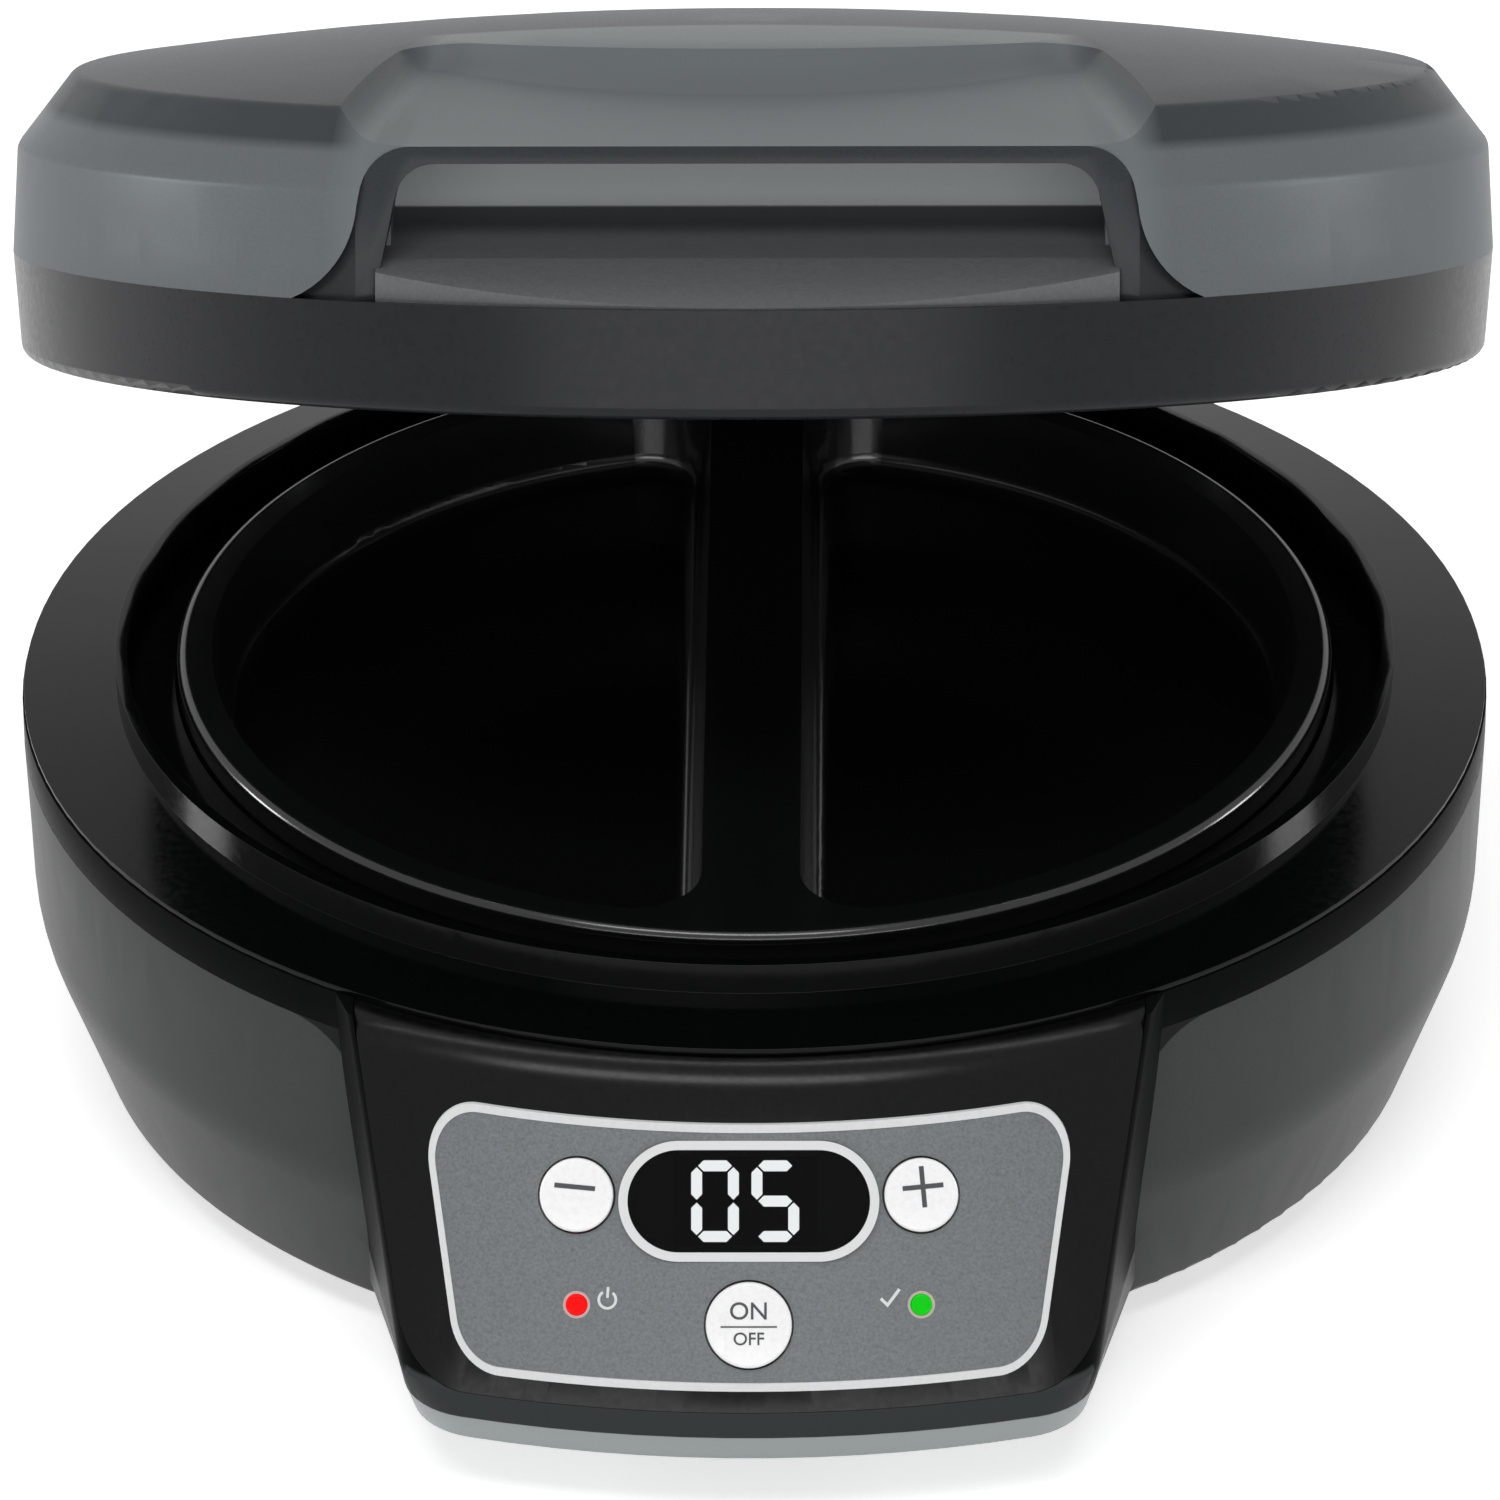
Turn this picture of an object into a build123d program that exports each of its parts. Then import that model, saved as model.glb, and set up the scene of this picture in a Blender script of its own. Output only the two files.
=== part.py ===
"""Round countertop omelette maker with a hinged lid, two half-moon wells and a leaning console.

Lengths are in millimetres. The origin lies on the surface that the feet stand on, under the middle of
the whole part. +X is right, +Y is back towards the hinge, +Z is up. The round base turns about a
vertical axis at y = AXIS_Y. The lid is drawn in its own tilted frame, open as it rests.
"""

import os
from math import cos, radians, sin, sqrt, tan

from build123d import *

os.makedirs("parts", exist_ok=True)

# Round casing
DECK_R = 135.0
SHELL_HEIGHT = 72.4
FOOT_HEIGHT = 6.6
BAND_HEIGHT = 8.6
BAND_R = 135.3
WAIST_DROP = 41.2
WAIST_R = 134.2
WAIST_ROUND = 34.0
BOTTOM_R = 123.0
BOTTOM_ROUND = 3.0
WALL = 2.5
SEAM = 0.15

# Deck, collar and lower plate, heights above the deck edge
DECK_EDGE = 1.2
DECK_RISE = 1.0
COLLAR_R = 118.0
COLLAR_TOP = 6.8
COLLAR_WALL = 2.2
CHANNEL_RISE = 0.8
SKIRT_DEPTH = 10.0
SKIRT_WALL = 3.0
LEDGE_WIDTH = 4.5
LEDGE_THICK = 2.0
RIM_SKIRT_WALL = 1.5
PLATE_R = 106.6
PLATE_TOP = 6.3
PLATE_GAP = 0.5
PLATE_RIM_ROUND = 1.9
PLATE_WALL = 3.0
WELL_R = 100.2
WELL_DEPTH = 17.0
WELL_CORNER_R = 12.5
WELL_DRAFT = 8.0
WELL_FLOOR_ROUND = 4.0
DIVIDER_WIDTH = 17.5

# Console pod and its curved fascia, drops below the deck edge and reaches ahead of the round axis
TILT = 32.0
CONE_BACK = 22.0
PANEL_TOP_DROP = 10.0
PANEL_TOP_REACH = 143.2
PANEL_HEIGHT = 39.3
PANEL_HALF_TOP = 57.7
PANEL_HALF_BOTTOM = 50.9
PANEL_CORNER_R = 8.8
PANEL_THICK = 0.35
OUTLINE_WIDTH = 1.2
OUTLINE_THICK = 0.5
SKIN_SPARE = 1.0
FASCIA_BOTTOM_DROP = 52.7
FASCIA_INNER_REACH = 126.0
FASCIA_WALL = 2.4
FASCIA_ROLL = 10.0
FASCIA_CORNER_R = 12.0
POD_EDGE = 0.9
POD_HALF_TOP = 70.6
POD_SIDE_TAPER = 0.195
POD_BACK_REACH = 100.0
POD_FACE_DROP = 58.9
POD_FACE_REACH = 168.5
POD_LIP_DROP = 67.5
POD_LIP_REACH = 162.0
POD_TOP_CORNER_R = 3.0
POD_LOW_CORNER_R = 14.0
VALLEY_REACH = 112.0
VALLEY_HALF_TOP = 73.7
VALLEY_TAPER = 0.1

# Buttons, display and lamps, placed on the panel as seen square on
SIDE_BUTTON_X = 30.0
SIDE_BUTTON_UP = 10.7
START_BUTTON_DOWN = 11.9
SIDE_BUTTON_R = 6.45
START_BUTTON_R = 7.5
BUTTON_GAP = 0.35
BUTTON_PROUD = 2.0
BUTTON_FLANGE = 1.2
BUTTON_SEAT = 4.2
BUTTON_STEM_R = 2.2
BUTTON_TRAVEL = 0.8
WINDOW_UP = 9.6
WINDOW_WIDTH = 43.8
WINDOW_HEIGHT = 19.4
BEZEL_WIDTH = 0.8
BEZEL_PROUD = 0.5
BEZEL_DEPTH = 4.6
BEZEL_LEDGE = 1.0
LENS_THICK = 1.5
LENS_GAP = 0.1
DIGIT_HEIGHT = 14.2
DIGIT_WIDTH = 8.3
DIGIT_PITCH = 10.5
DIGIT_SHIFT = -0.65
SEGMENT_WIDTH = 1.9
SEGMENT_GAP = 0.25
SEGMENT_THICK = 0.3
MODULE_WIDTH = 25.0
MODULE_HEIGHT = 15.4
MODULE_FACE = 2.0
LAMP_X = 30.0
LAMP_DOWN = 8.4
LAMP_R = 1.95
LAMP_RING_R = 2.4
LAMP_PROUD = 0.5
LAMP_DEPTH = 5.0
LED_R = 1.5
LED_GAP = 0.6
BOARD_DEPTH = 15.0
BOARD_THICK = 1.6
BOARD_WIDTH = 96.0
BOARD_HEIGHT = 36.0
BOARD_SCREW_X = 44.0
BOARD_SCREW_UP = 14.0
SWITCH_SIDE = 6.0
SWITCH_HEIGHT = 3.5
PLUNGER_R = 1.6
PLUNGER_GAP = 0.1
PLUNGER_REST = 1.7

# Lid, heights above its rim plane
LID_OPEN = 22.56
LID_GAP = 3.0
HINGE_REACH = 147.5
HINGE_DROP = 5.8
BAND_BOTTOM_R = 133.8
LID_R = 135.3
LID_BAND_HEIGHT = 19.0
LID_SIDE_TOP = 38.2
LID_SIDE_TOP_R = 134.3
PLATEAU_R = 124.0
PLATEAU_HEIGHT = 51.6
DOME_RISE = 9.0
LID_ROUND = 3.0
BAND_ROUND = 2.2

# Scoop, arch and pocket of the lid, forward distances from the lid axis
SHELF_BACK = 64.5
SHELF_BACK_HEIGHT = 51.2
SHELF_FRONT = 114.5
SHELF_FRONT_HEIGHT = 45.6
SHELF_HALF_BACK = 61.5
SHELF_HALF_FRONT = 67.2
SHELF_REAR_BOW = 31.0
SHELF_REAR_CORNER_R = 4.0
SCOOP_HEIGHT = 14.0
SCOOP_DRAFT = 48.0
SCOOP_ROUND = 8.0
ARCH_BACK = 104.0
ARCH_BAR_BACK = 110.5
ARCH_R = 133.0
ARCH_HALF_FOOT = 79.3
ARCH_FOOT = 18.9
ARCH_HALF_KNEE = 71.4
ARCH_KNEE = 25.1
ARCH_HALF_WAIST = 67.4
ARCH_WAIST = 35.4
ARCH_HALF_TOP = 65.4
ARCH_TOP_R = 9.0
BAR_THICK = 3.0
POCKET_HALF_FOOT = 64.2
POCKET_HALF_TOP = 59.6
POCKET_TOP_R = 7.0
POCKET_BACK = 85.0
POCKET_BACK_FLOOR = 33.0
POCKET_FRONT = 133.0
POCKET_FRONT_FLOOR = 19.3
POCKET_WALL = 2.0
POCKET_HALF = 62.0
SILL_BACK = 113.0

# Inside of the lid
LINER_LOW = 1.0
LINER_HIGH = 5.2
LINER_STEP_R = 120.5
LINER_THICK = 2.0
LINER_GAP = 0.2
UPPER_WELL_DEPTH = 12.0
UPPER_RIM_DEPTH = 8.0
LID_POST_RING_R = 127.2
UPPER_DISH_R = 88.0
UPPER_WALL_R = 103.0
UPPER_WALL_TOP = 20.0

# Heating, boards and fasteners
LOWER_RIM_DEPTH = 14.3
ELEMENT_R = 3.3
ELEMENT_RING_R = 64.0
ELEMENT_SWEEP = 300.0
ELEMENT_PIN_R = 2.0
ELEMENT_PIN_LENGTH = 13.0
CLIP_WIDTH = 16.0
CLIP_DEPTH = 7.0
CLIP_WALL = 0.9
REFLECTOR_THICK = 0.8
REFLECTOR_GAP = 3.5
REFLECTOR_R = 102.0
REFLECTOR_FLANGE_R = 115.5
FLANGE_SCREW_RING_R = 111.5
BOSS_R = 3.6
THERMOSTAT_R = 7.8
THERMOSTAT_HEIGHT = 7.0
THERMOSTAT_REACH = 34.0
FUSE_R = 2.0
FUSE_LENGTH = 12.0
SCREW_R = 1.5
SCREW_LENGTH = 8.0
SCREW_HEAD_R = 2.8
SCREW_HEAD = 1.8
POST_R = 4.5
POST_RING_R = 114.0
POST_CLEAR = 1.0
COVER_THICK = 2.5
COVER_GAP = 0.4
FOOT_R = 9.5
FOOT_ROUND = 1.2
FOOT_RING_R = 108.0
FRONT_FOOT_ANGLE = 30.0
REAR_FOOT_ANGLE = 63.0
STUD_R = 3.0
STUD_HEAD_R = 4.2
POWER_BOARD_WIDTH = 84.0
POWER_BOARD_LENGTH = 54.0
POWER_BOARD_RISE = 8.0
POWER_BOARD_BACK = 25.0
TRANSFORMER_X = -18.0
TRANSFORMER_WIDTH = 26.0
TRANSFORMER_LENGTH = 22.0
RELAY_X = 14.0
RELAY_BACK = 8.0
RELAY_WIDTH = 20.0
RELAY_LENGTH = 15.0
CAPACITOR_X = 16.0
CAPACITOR_FRONT = 14.0
CAPACITOR_R = 5.0
POWER_BLOCK_HEIGHT = 15.0

# Hinge and cord inlet
PIN_R = 3.0
PIN_CLEAR = 0.05
BARREL_R = 7.5
LUG_R = 9.5
LUG_WIDTH = 8.0
ARM_HALF = 18.0
ARM_OUT = 141.0
ARM_IN = 136.4
ARM_HEIGHT = 24.0
ARM_SCREW_X = 11.0
ARM_SCREW_HEIGHT = 10.0
HINGE_SIDE_GAP = 0.4
WASHER_THICK = 0.8
WASHER_R = 6.5
CLIP_R = 5.0
CLIP_THICK = 1.2
PIN_END = 1.0
BRACKET_IN = 125.0
BRACKET_OUT = 138.4
BRACKET_LOW = 61.0
BRACKET_TOP = 71.8
BRACKET_SCREW_X = 14.0
BRACKET_SCREW_HEIGHT = 66.0
GLAND_HEIGHT = 27.0
GLAND_R = 7.0
GLAND_FLANGE_R = 9.5
GLAND_IN = 118.0
GLAND_OUT = 136.0
CORD_BORE_R = 3.6

# Places worked out from the sizes above
DECK_Z = FOOT_HEIGHT + SHELL_HEIGHT
TILT_SIN = sin(radians(TILT))
TILT_COS = cos(radians(TILT))
TILT_TAN = tan(radians(TILT))
OPEN_SIN = sin(radians(LID_OPEN))
OPEN_COS = cos(radians(LID_OPEN))


def reach_at(drop):
    """Forward reach of the slanted console face at a drop below the deck edge."""
    return PANEL_TOP_REACH + TILT_TAN * (drop - PANEL_TOP_DROP)


FRONT_REACH = reach_at(FASCIA_BOTTOM_DROP)
REAR_REACH = HINGE_REACH + LUG_R
AXIS_Y = (FRONT_REACH - REAR_REACH) / 2
HINGE_Y = AXIS_Y + HINGE_REACH
HINGE_Z = DECK_Z - HINGE_DROP
HINGE_LOW = LID_GAP + HINGE_DROP
PANEL_MID_DROP = PANEL_TOP_DROP + PANEL_HEIGHT / 2

# Frames to draw in
base_section = Plane(origin=(0, AXIS_Y, 0), x_dir=(1, 0, 0), z_dir=(0, -1, 0))
base_side = Plane(origin=(0, AXIS_Y, 0), x_dir=(0, 1, 0), z_dir=(1, 0, 0))
base_axis = Axis((0, AXIS_Y, 0), (0, 0, 1))
cone_section = Plane(origin=(0, AXIS_Y + CONE_BACK, 0), x_dir=(1, 0, 0), z_dir=(0, -1, 0))
cone_axis = Axis((0, AXIS_Y + CONE_BACK, 0), (0, 0, 1))
panel_plane = Plane(
    origin=(0, AXIS_Y - reach_at(PANEL_MID_DROP), DECK_Z - PANEL_MID_DROP),
    x_dir=(1, 0, 0),
    z_dir=(0, -TILT_COS, TILT_SIN),
)
lid_frame = Plane(
    origin=(
        0,
        HINGE_Y - HINGE_REACH * OPEN_COS + HINGE_LOW * OPEN_SIN,
        HINGE_Z + HINGE_REACH * OPEN_SIN + HINGE_LOW * OPEN_COS,
    ),
    x_dir=(1, 0, 0),
    z_dir=(0, OPEN_SIN, OPEN_COS),
)
lid_section = Plane(origin=lid_frame.origin, x_dir=(1, 0, 0), z_dir=-lid_frame.y_dir)
lid_side = Plane(origin=lid_frame.origin, x_dir=lid_frame.y_dir, z_dir=(1, 0, 0))
lid_axis = Axis(lid_frame.origin, lid_frame.z_dir)


def base_level(z, down=False):
    """A flat plane at a height, centred on the round axis, facing up or down."""
    return Plane(origin=(0, AXIS_Y, z), x_dir=(1, 0, 0), z_dir=(0, 0, -1 if down else 1))


def lid_level(height, down=False):
    """A plane parallel to the lid's rim, centred on the lid axis, facing out or in."""
    spot = lid_frame.from_local_coords(Vector(0, 0, height))
    return Plane(origin=spot, x_dir=(1, 0, 0), z_dir=lid_frame.z_dir * (-1 if down else 1))


def lid_front(forward):
    """A plane square to the lid's front, drawn in x and height above the lid's rim plane."""
    spot = lid_frame.from_local_coords(Vector(0, -forward, 0))
    return Plane(origin=spot, x_dir=(1, 0, 0), z_dir=-lid_frame.y_dir)


def on_panel(x, up, depth=0.0):
    """A plane facing out of the panel at a place on it, some depth under the panel's middle line."""
    spot = panel_plane.from_local_coords(Vector(x, up, -depth))
    return Plane(origin=spot, x_dir=(1, 0, 0), z_dir=panel_plane.z_dir)


def sink(x, up):
    """How far the curved panel lies under its middle line at a place on it."""
    cone_r = reach_at(PANEL_MID_DROP - up * TILT_COS) + CONE_BACK
    return TILT_COS * (cone_r - sqrt(cone_r**2 - x**2))


def outline(*points):
    """Fill a closed straight-sided outline in the sketch being drawn."""
    with BuildLine() as edge:
        Polyline(*points, close=True)
    make_face(edge.edges())


def corner(shape, radius, x, y):
    """Round the corner of the sketch being drawn that lies nearest to a local place."""
    fillet(shape.vertices().sort_by_distance(Vector(x, y, 0))[0], radius)


def pod_outline(shape, drop, front_reach, corner_r, inset=0.0):
    """The console pod's plan outline at one level, drawn with forward as the local +Y."""
    half_valley = VALLEY_HALF_TOP - VALLEY_TAPER * drop - inset
    half_front = POD_HALF_TOP - POD_SIDE_TAPER * drop - inset
    front_r = front_reach + CONE_BACK - inset
    front = sqrt(front_r**2 - half_front**2) - CONE_BACK
    spread = (half_valley - half_front) / (front - VALLEY_REACH)
    half_back = half_valley + spread * (VALLEY_REACH - POD_BACK_REACH)
    with BuildLine() as edge:
        Line((-half_front, front), (-half_back, POD_BACK_REACH))
        Line((-half_back, POD_BACK_REACH), (half_back, POD_BACK_REACH))
        Line((half_back, POD_BACK_REACH), (half_front, front))
        ThreePointArc((half_front, front), (0, front_r - CONE_BACK), (-half_front, front))
    make_face(edge.edges())
    corner(shape, corner_r, -half_front, front)
    corner(shape, corner_r, half_front, front)


def round_outline(shape, inset=0.0):
    """Half the round casing's section, from the floor side to the underside of the deck edge."""
    outline(
        (0, FOOT_HEIGHT),
        (BOTTOM_R - inset, FOOT_HEIGHT),
        (WAIST_R - inset, DECK_Z - WAIST_DROP),
        (BAND_R - inset, DECK_Z - BAND_HEIGHT),
        (BAND_R - inset, DECK_Z - DECK_EDGE),
        (0, DECK_Z - DECK_EDGE),
    )
    corner(shape, WAIST_ROUND, WAIST_R - inset, DECK_Z - WAIST_DROP)


def wells(shape, radius=WELL_R, divider=DIVIDER_WIDTH, corner_r=WELL_CORNER_R):
    """Two half-moon outlines either side of a straight divider."""
    Circle(radius)
    Rectangle(divider, 2 * radius + 2, mode=Mode.SUBTRACT)
    fillet(shape.vertices(), corner_r)


# Round casing: outer and inner forms of the round body and of the console pod
with BuildPart() as round_form:
    with BuildSketch(base_section) as round_half:
        round_outline(round_half)
        corner(round_half, BOTTOM_ROUND, BOTTOM_R, FOOT_HEIGHT)
    revolve(axis=base_axis)

with BuildPart() as round_core:
    with BuildSketch(base_section) as core_half:
        round_outline(core_half, WALL)
    revolve(axis=base_axis)

POD_LEVELS = (
    (DECK_EDGE, reach_at(DECK_EDGE), POD_TOP_CORNER_R),
    (FASCIA_BOTTOM_DROP, FRONT_REACH, FASCIA_CORNER_R),
    (POD_FACE_DROP, POD_FACE_REACH, POD_LOW_CORNER_R),
    (POD_LIP_DROP, POD_LIP_REACH, POD_LOW_CORNER_R),
)

with BuildPart() as pod_form:
    for pod_drop, pod_reach, pod_corner in POD_LEVELS:
        with BuildSketch(base_level(DECK_Z - pod_drop, down=True)) as pod_plan:
            pod_outline(pod_plan, pod_drop, pod_reach, pod_corner)
    loft(ruled=True)

with BuildPart() as pod_core:
    for pod_drop, pod_reach, pod_corner in POD_LEVELS[:-1]:
        with BuildSketch(base_level(DECK_Z - pod_drop, down=True)) as pod_plan:
            pod_outline(pod_plan, pod_drop, pod_reach, pod_corner, WALL)
    with BuildSketch(base_level(DECK_Z - POD_LIP_DROP + WALL, down=True)) as pod_plan:
        pod_outline(pod_plan, POD_LIP_DROP - WALL, POD_LIP_REACH + WALL, POD_LOW_CORNER_R, WALL)
    loft(ruled=True)


# Base: console fascia, a black shell that follows a cone and rolls over at the top
def fascia_half(drop):
    """Half width of the fascia at a drop below the deck edge."""
    return POD_HALF_TOP - POD_EDGE - POD_SIDE_TAPER * drop


def fascia_section(shape, gap=0.0):
    """The fascia's section, cone radius against height, with a gap round its hidden faces."""
    inner = FASCIA_WALL / TILT_COS + gap
    under = DECK_EDGE + FASCIA_WALL + gap
    outline(
        (FASCIA_INNER_REACH + CONE_BACK - gap, DECK_Z - DECK_EDGE),
        (reach_at(DECK_EDGE) + CONE_BACK, DECK_Z - DECK_EDGE),
        (reach_at(FASCIA_BOTTOM_DROP + gap) + CONE_BACK, DECK_Z - FASCIA_BOTTOM_DROP - gap),
        (reach_at(FASCIA_BOTTOM_DROP + gap) + CONE_BACK - inner, DECK_Z - FASCIA_BOTTOM_DROP - gap),
        (reach_at(under) + CONE_BACK - inner, DECK_Z - under),
        (FASCIA_INNER_REACH + CONE_BACK - gap, DECK_Z - under),
    )
    corner(shape, FASCIA_ROLL - FASCIA_WALL, reach_at(under) + CONE_BACK - inner, DECK_Z - under)


def fascia_front(shape, gap=0.0):
    """The fascia's outline as seen from the front, with a gap round it."""
    low = FASCIA_BOTTOM_DROP + gap
    outline(
        (-fascia_half(0) - gap, DECK_Z),
        (fascia_half(0) + gap, DECK_Z),
        (fascia_half(low) + gap, DECK_Z - low),
        (-fascia_half(low) - gap, DECK_Z - low),
    )
    corner(shape, FASCIA_CORNER_R, fascia_half(low), DECK_Z - low)
    corner(shape, FASCIA_CORNER_R, -fascia_half(low), DECK_Z - low)


with BuildPart() as fascia_seat:
    with BuildSketch(cone_section) as seat_section:
        fascia_section(seat_section, SEAM)
    revolve(axis=cone_axis)
    with BuildSketch(base_section) as seat_front:
        fascia_front(seat_front, SEAM)
    extrude(amount=2 * DECK_R, mode=Mode.INTERSECT)

with BuildPart() as console_fascia:
    with BuildSketch(cone_section) as shell_section:
        fascia_section(shell_section)
        corner(shell_section, FASCIA_ROLL, reach_at(DECK_EDGE) + CONE_BACK, DECK_Z - DECK_EDGE)
    revolve(axis=cone_axis)
    with BuildSketch(base_section) as shell_front:
        fascia_front(shell_front)
    extrude(amount=2 * DECK_R, mode=Mode.INTERSECT)
    # Bosses behind the fascia that carry the control board
    with BuildSketch(on_panel(0, 0, BOARD_DEPTH)):
        with GridLocations(2 * BOARD_SCREW_X, 2 * BOARD_SCREW_UP, 2, 2):
            Circle(2 * SCREW_R)
    extrude(amount=BOARD_DEPTH - sink(BOARD_SCREW_X, BOARD_SCREW_UP) - FASCIA_WALL / 2)
    # Holes for the display, the buttons, the lamps and the board screws
    with BuildSketch(on_panel(0, WINDOW_UP, BOARD_DEPTH / 2)):
        SlotOverall(WINDOW_WIDTH + 2 * SEAM, WINDOW_HEIGHT + 2 * SEAM)
    extrude(amount=BOARD_DEPTH, mode=Mode.SUBTRACT)
    with BuildSketch(on_panel(0, 0, BOARD_DEPTH / 2)):
        with Locations((-SIDE_BUTTON_X, SIDE_BUTTON_UP), (SIDE_BUTTON_X, SIDE_BUTTON_UP)):
            Circle(SIDE_BUTTON_R + BUTTON_GAP)
        with Locations((0, -START_BUTTON_DOWN)):
            Circle(START_BUTTON_R + BUTTON_GAP)
        with Locations((-LAMP_X, -LAMP_DOWN), (LAMP_X, -LAMP_DOWN)):
            Circle(LAMP_R)
    extrude(amount=BOARD_DEPTH, mode=Mode.SUBTRACT)
    with BuildSketch(on_panel(0, 0, BOARD_DEPTH)):
        with GridLocations(2 * BOARD_SCREW_X, 2 * BOARD_SCREW_UP, 2, 2):
            Circle(SCREW_R)
    extrude(amount=SCREW_LENGTH, mode=Mode.SUBTRACT)
console_fascia.part.label = "console_fascia"
export_step(console_fascia.part, "parts/console_fascia.step")


# Base: metallic outer shell with the pod's lower lip
with BuildPart() as pod_lip:
    add(pod_form.part)
    with BuildSketch(base_level(DECK_Z - POD_FACE_DROP)):
        Circle(2 * DECK_R)
    extrude(amount=POD_FACE_DROP, mode=Mode.SUBTRACT)
    add(round_core.part, mode=Mode.SUBTRACT)

with BuildPart() as outer_shell:
    add(round_form.part)
    add(round_core.part, mode=Mode.SUBTRACT)
    with BuildSketch(base_level(DECK_Z - BAND_HEIGHT)):
        Circle(2 * DECK_R)
    extrude(amount=BAND_HEIGHT, mode=Mode.SUBTRACT)
    add(pod_lip.part)
    add(pod_core.part, mode=Mode.SUBTRACT)
    # Hole for the cord gland at the back
    with BuildSketch(Plane(origin=(0, AXIS_Y + GLAND_IN, GLAND_HEIGHT), x_dir=(1, 0, 0), z_dir=(0, 1, 0))):
        Circle(GLAND_R)
    extrude(amount=GLAND_OUT - GLAND_IN, mode=Mode.SUBTRACT)
    # Holes for the screws that hold the hinge bracket
    back_wall = Plane(origin=(0, AXIS_Y + GLAND_IN, BRACKET_SCREW_HEIGHT), x_dir=(1, 0, 0), z_dir=(0, 1, 0))
    with BuildSketch(back_wall):
        with Locations((-BRACKET_SCREW_X, 0), (BRACKET_SCREW_X, 0)):
            Circle(SCREW_R)
    extrude(amount=GLAND_OUT - GLAND_IN, mode=Mode.SUBTRACT)
outer_shell.part.label = "outer_shell"
export_step(outer_shell.part, "parts/outer_shell.step")


# Base: dark rim band that turns down both sides of the console and under it
with BuildPart() as rim_trim:
    add(round_form.part)
    with BuildSketch(base_level(DECK_Z - BAND_HEIGHT, down=True)):
        Circle(2 * DECK_R)
    extrude(amount=DECK_Z, mode=Mode.SUBTRACT)
    add(pod_form.part)
    with BuildSketch(base_level(DECK_Z - POD_FACE_DROP, down=True)):
        Circle(2 * DECK_R)
    extrude(amount=DECK_Z, mode=Mode.SUBTRACT)
    add(round_core.part, mode=Mode.SUBTRACT)
    add(outer_shell.part, mode=Mode.SUBTRACT)
    add(pod_core.part, mode=Mode.SUBTRACT)
    add(fascia_seat.part, mode=Mode.SUBTRACT)
rim_trim.part.label = "rim_trim"
export_step(rim_trim.part, "parts/rim_trim.step")


# Base: top deck with its raised collar, channel and plate ledge
SKIRT_R = PLATE_R + PLATE_GAP
with BuildPart() as top_deck:
    with BuildSketch(base_section):
        outline(
            (DECK_R, DECK_Z - DECK_EDGE),
            (DECK_R, DECK_Z),
            (COLLAR_R, DECK_Z + DECK_RISE),
            (COLLAR_R, DECK_Z + COLLAR_TOP),
            (COLLAR_R - COLLAR_WALL, DECK_Z + COLLAR_TOP),
            (COLLAR_R - COLLAR_WALL, DECK_Z + CHANNEL_RISE),
            (SKIRT_R, DECK_Z + CHANNEL_RISE),
            (SKIRT_R, DECK_Z - SKIRT_DEPTH + LEDGE_THICK),
            (SKIRT_R - LEDGE_WIDTH, DECK_Z - SKIRT_DEPTH + LEDGE_THICK),
            (SKIRT_R - LEDGE_WIDTH, DECK_Z - SKIRT_DEPTH),
            (SKIRT_R + SKIRT_WALL, DECK_Z - SKIRT_DEPTH),
            (SKIRT_R + SKIRT_WALL, DECK_Z - DECK_EDGE),
        )
    revolve(axis=base_axis)
    # Rim skirt that centres the deck in the trim, left out where the console stands
    with BuildSketch(base_level(DECK_Z - DECK_EDGE, down=True)):
        Circle(BAND_R - WALL - SEAM)
        Circle(BAND_R - WALL - SEAM - RIM_SKIRT_WALL, mode=Mode.SUBTRACT)
        with Locations((0, DECK_R)):
            Rectangle(2 * POD_HALF_TOP, DECK_R, mode=Mode.SUBTRACT)
    extrude(amount=BAND_HEIGHT - DECK_EDGE)
    # Bosses for the reflector's screws
    with BuildSketch(base_level(DECK_Z - DECK_EDGE, down=True)):
        with PolarLocations(FLANGE_SCREW_RING_R, 4):
            Circle(BOSS_R)
    extrude(amount=SKIRT_DEPTH - DECK_EDGE)
    # Posts that stand on the bottom cover
    with BuildSketch(base_level(DECK_Z - DECK_EDGE, down=True)):
        with PolarLocations(POST_RING_R, 4, start_angle=45):
            Circle(POST_R)
    extrude(amount=SHELL_HEIGHT - DECK_EDGE - COVER_THICK)
    # Screw holes, up into the bosses and up into the posts
    with BuildSketch(base_level(DECK_Z - SKIRT_DEPTH)):
        with PolarLocations(FLANGE_SCREW_RING_R, 4):
            Circle(SCREW_R)
    extrude(amount=SCREW_LENGTH - REFLECTOR_THICK, mode=Mode.SUBTRACT)
    with BuildSketch(base_level(FOOT_HEIGHT)):
        with PolarLocations(POST_RING_R, 4, start_angle=45):
            Circle(SCREW_R)
    extrude(amount=2 * SCREW_LENGTH, mode=Mode.SUBTRACT)
top_deck.part.label = "top_deck"
export_step(top_deck.part, "parts/top_deck.step")


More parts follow.
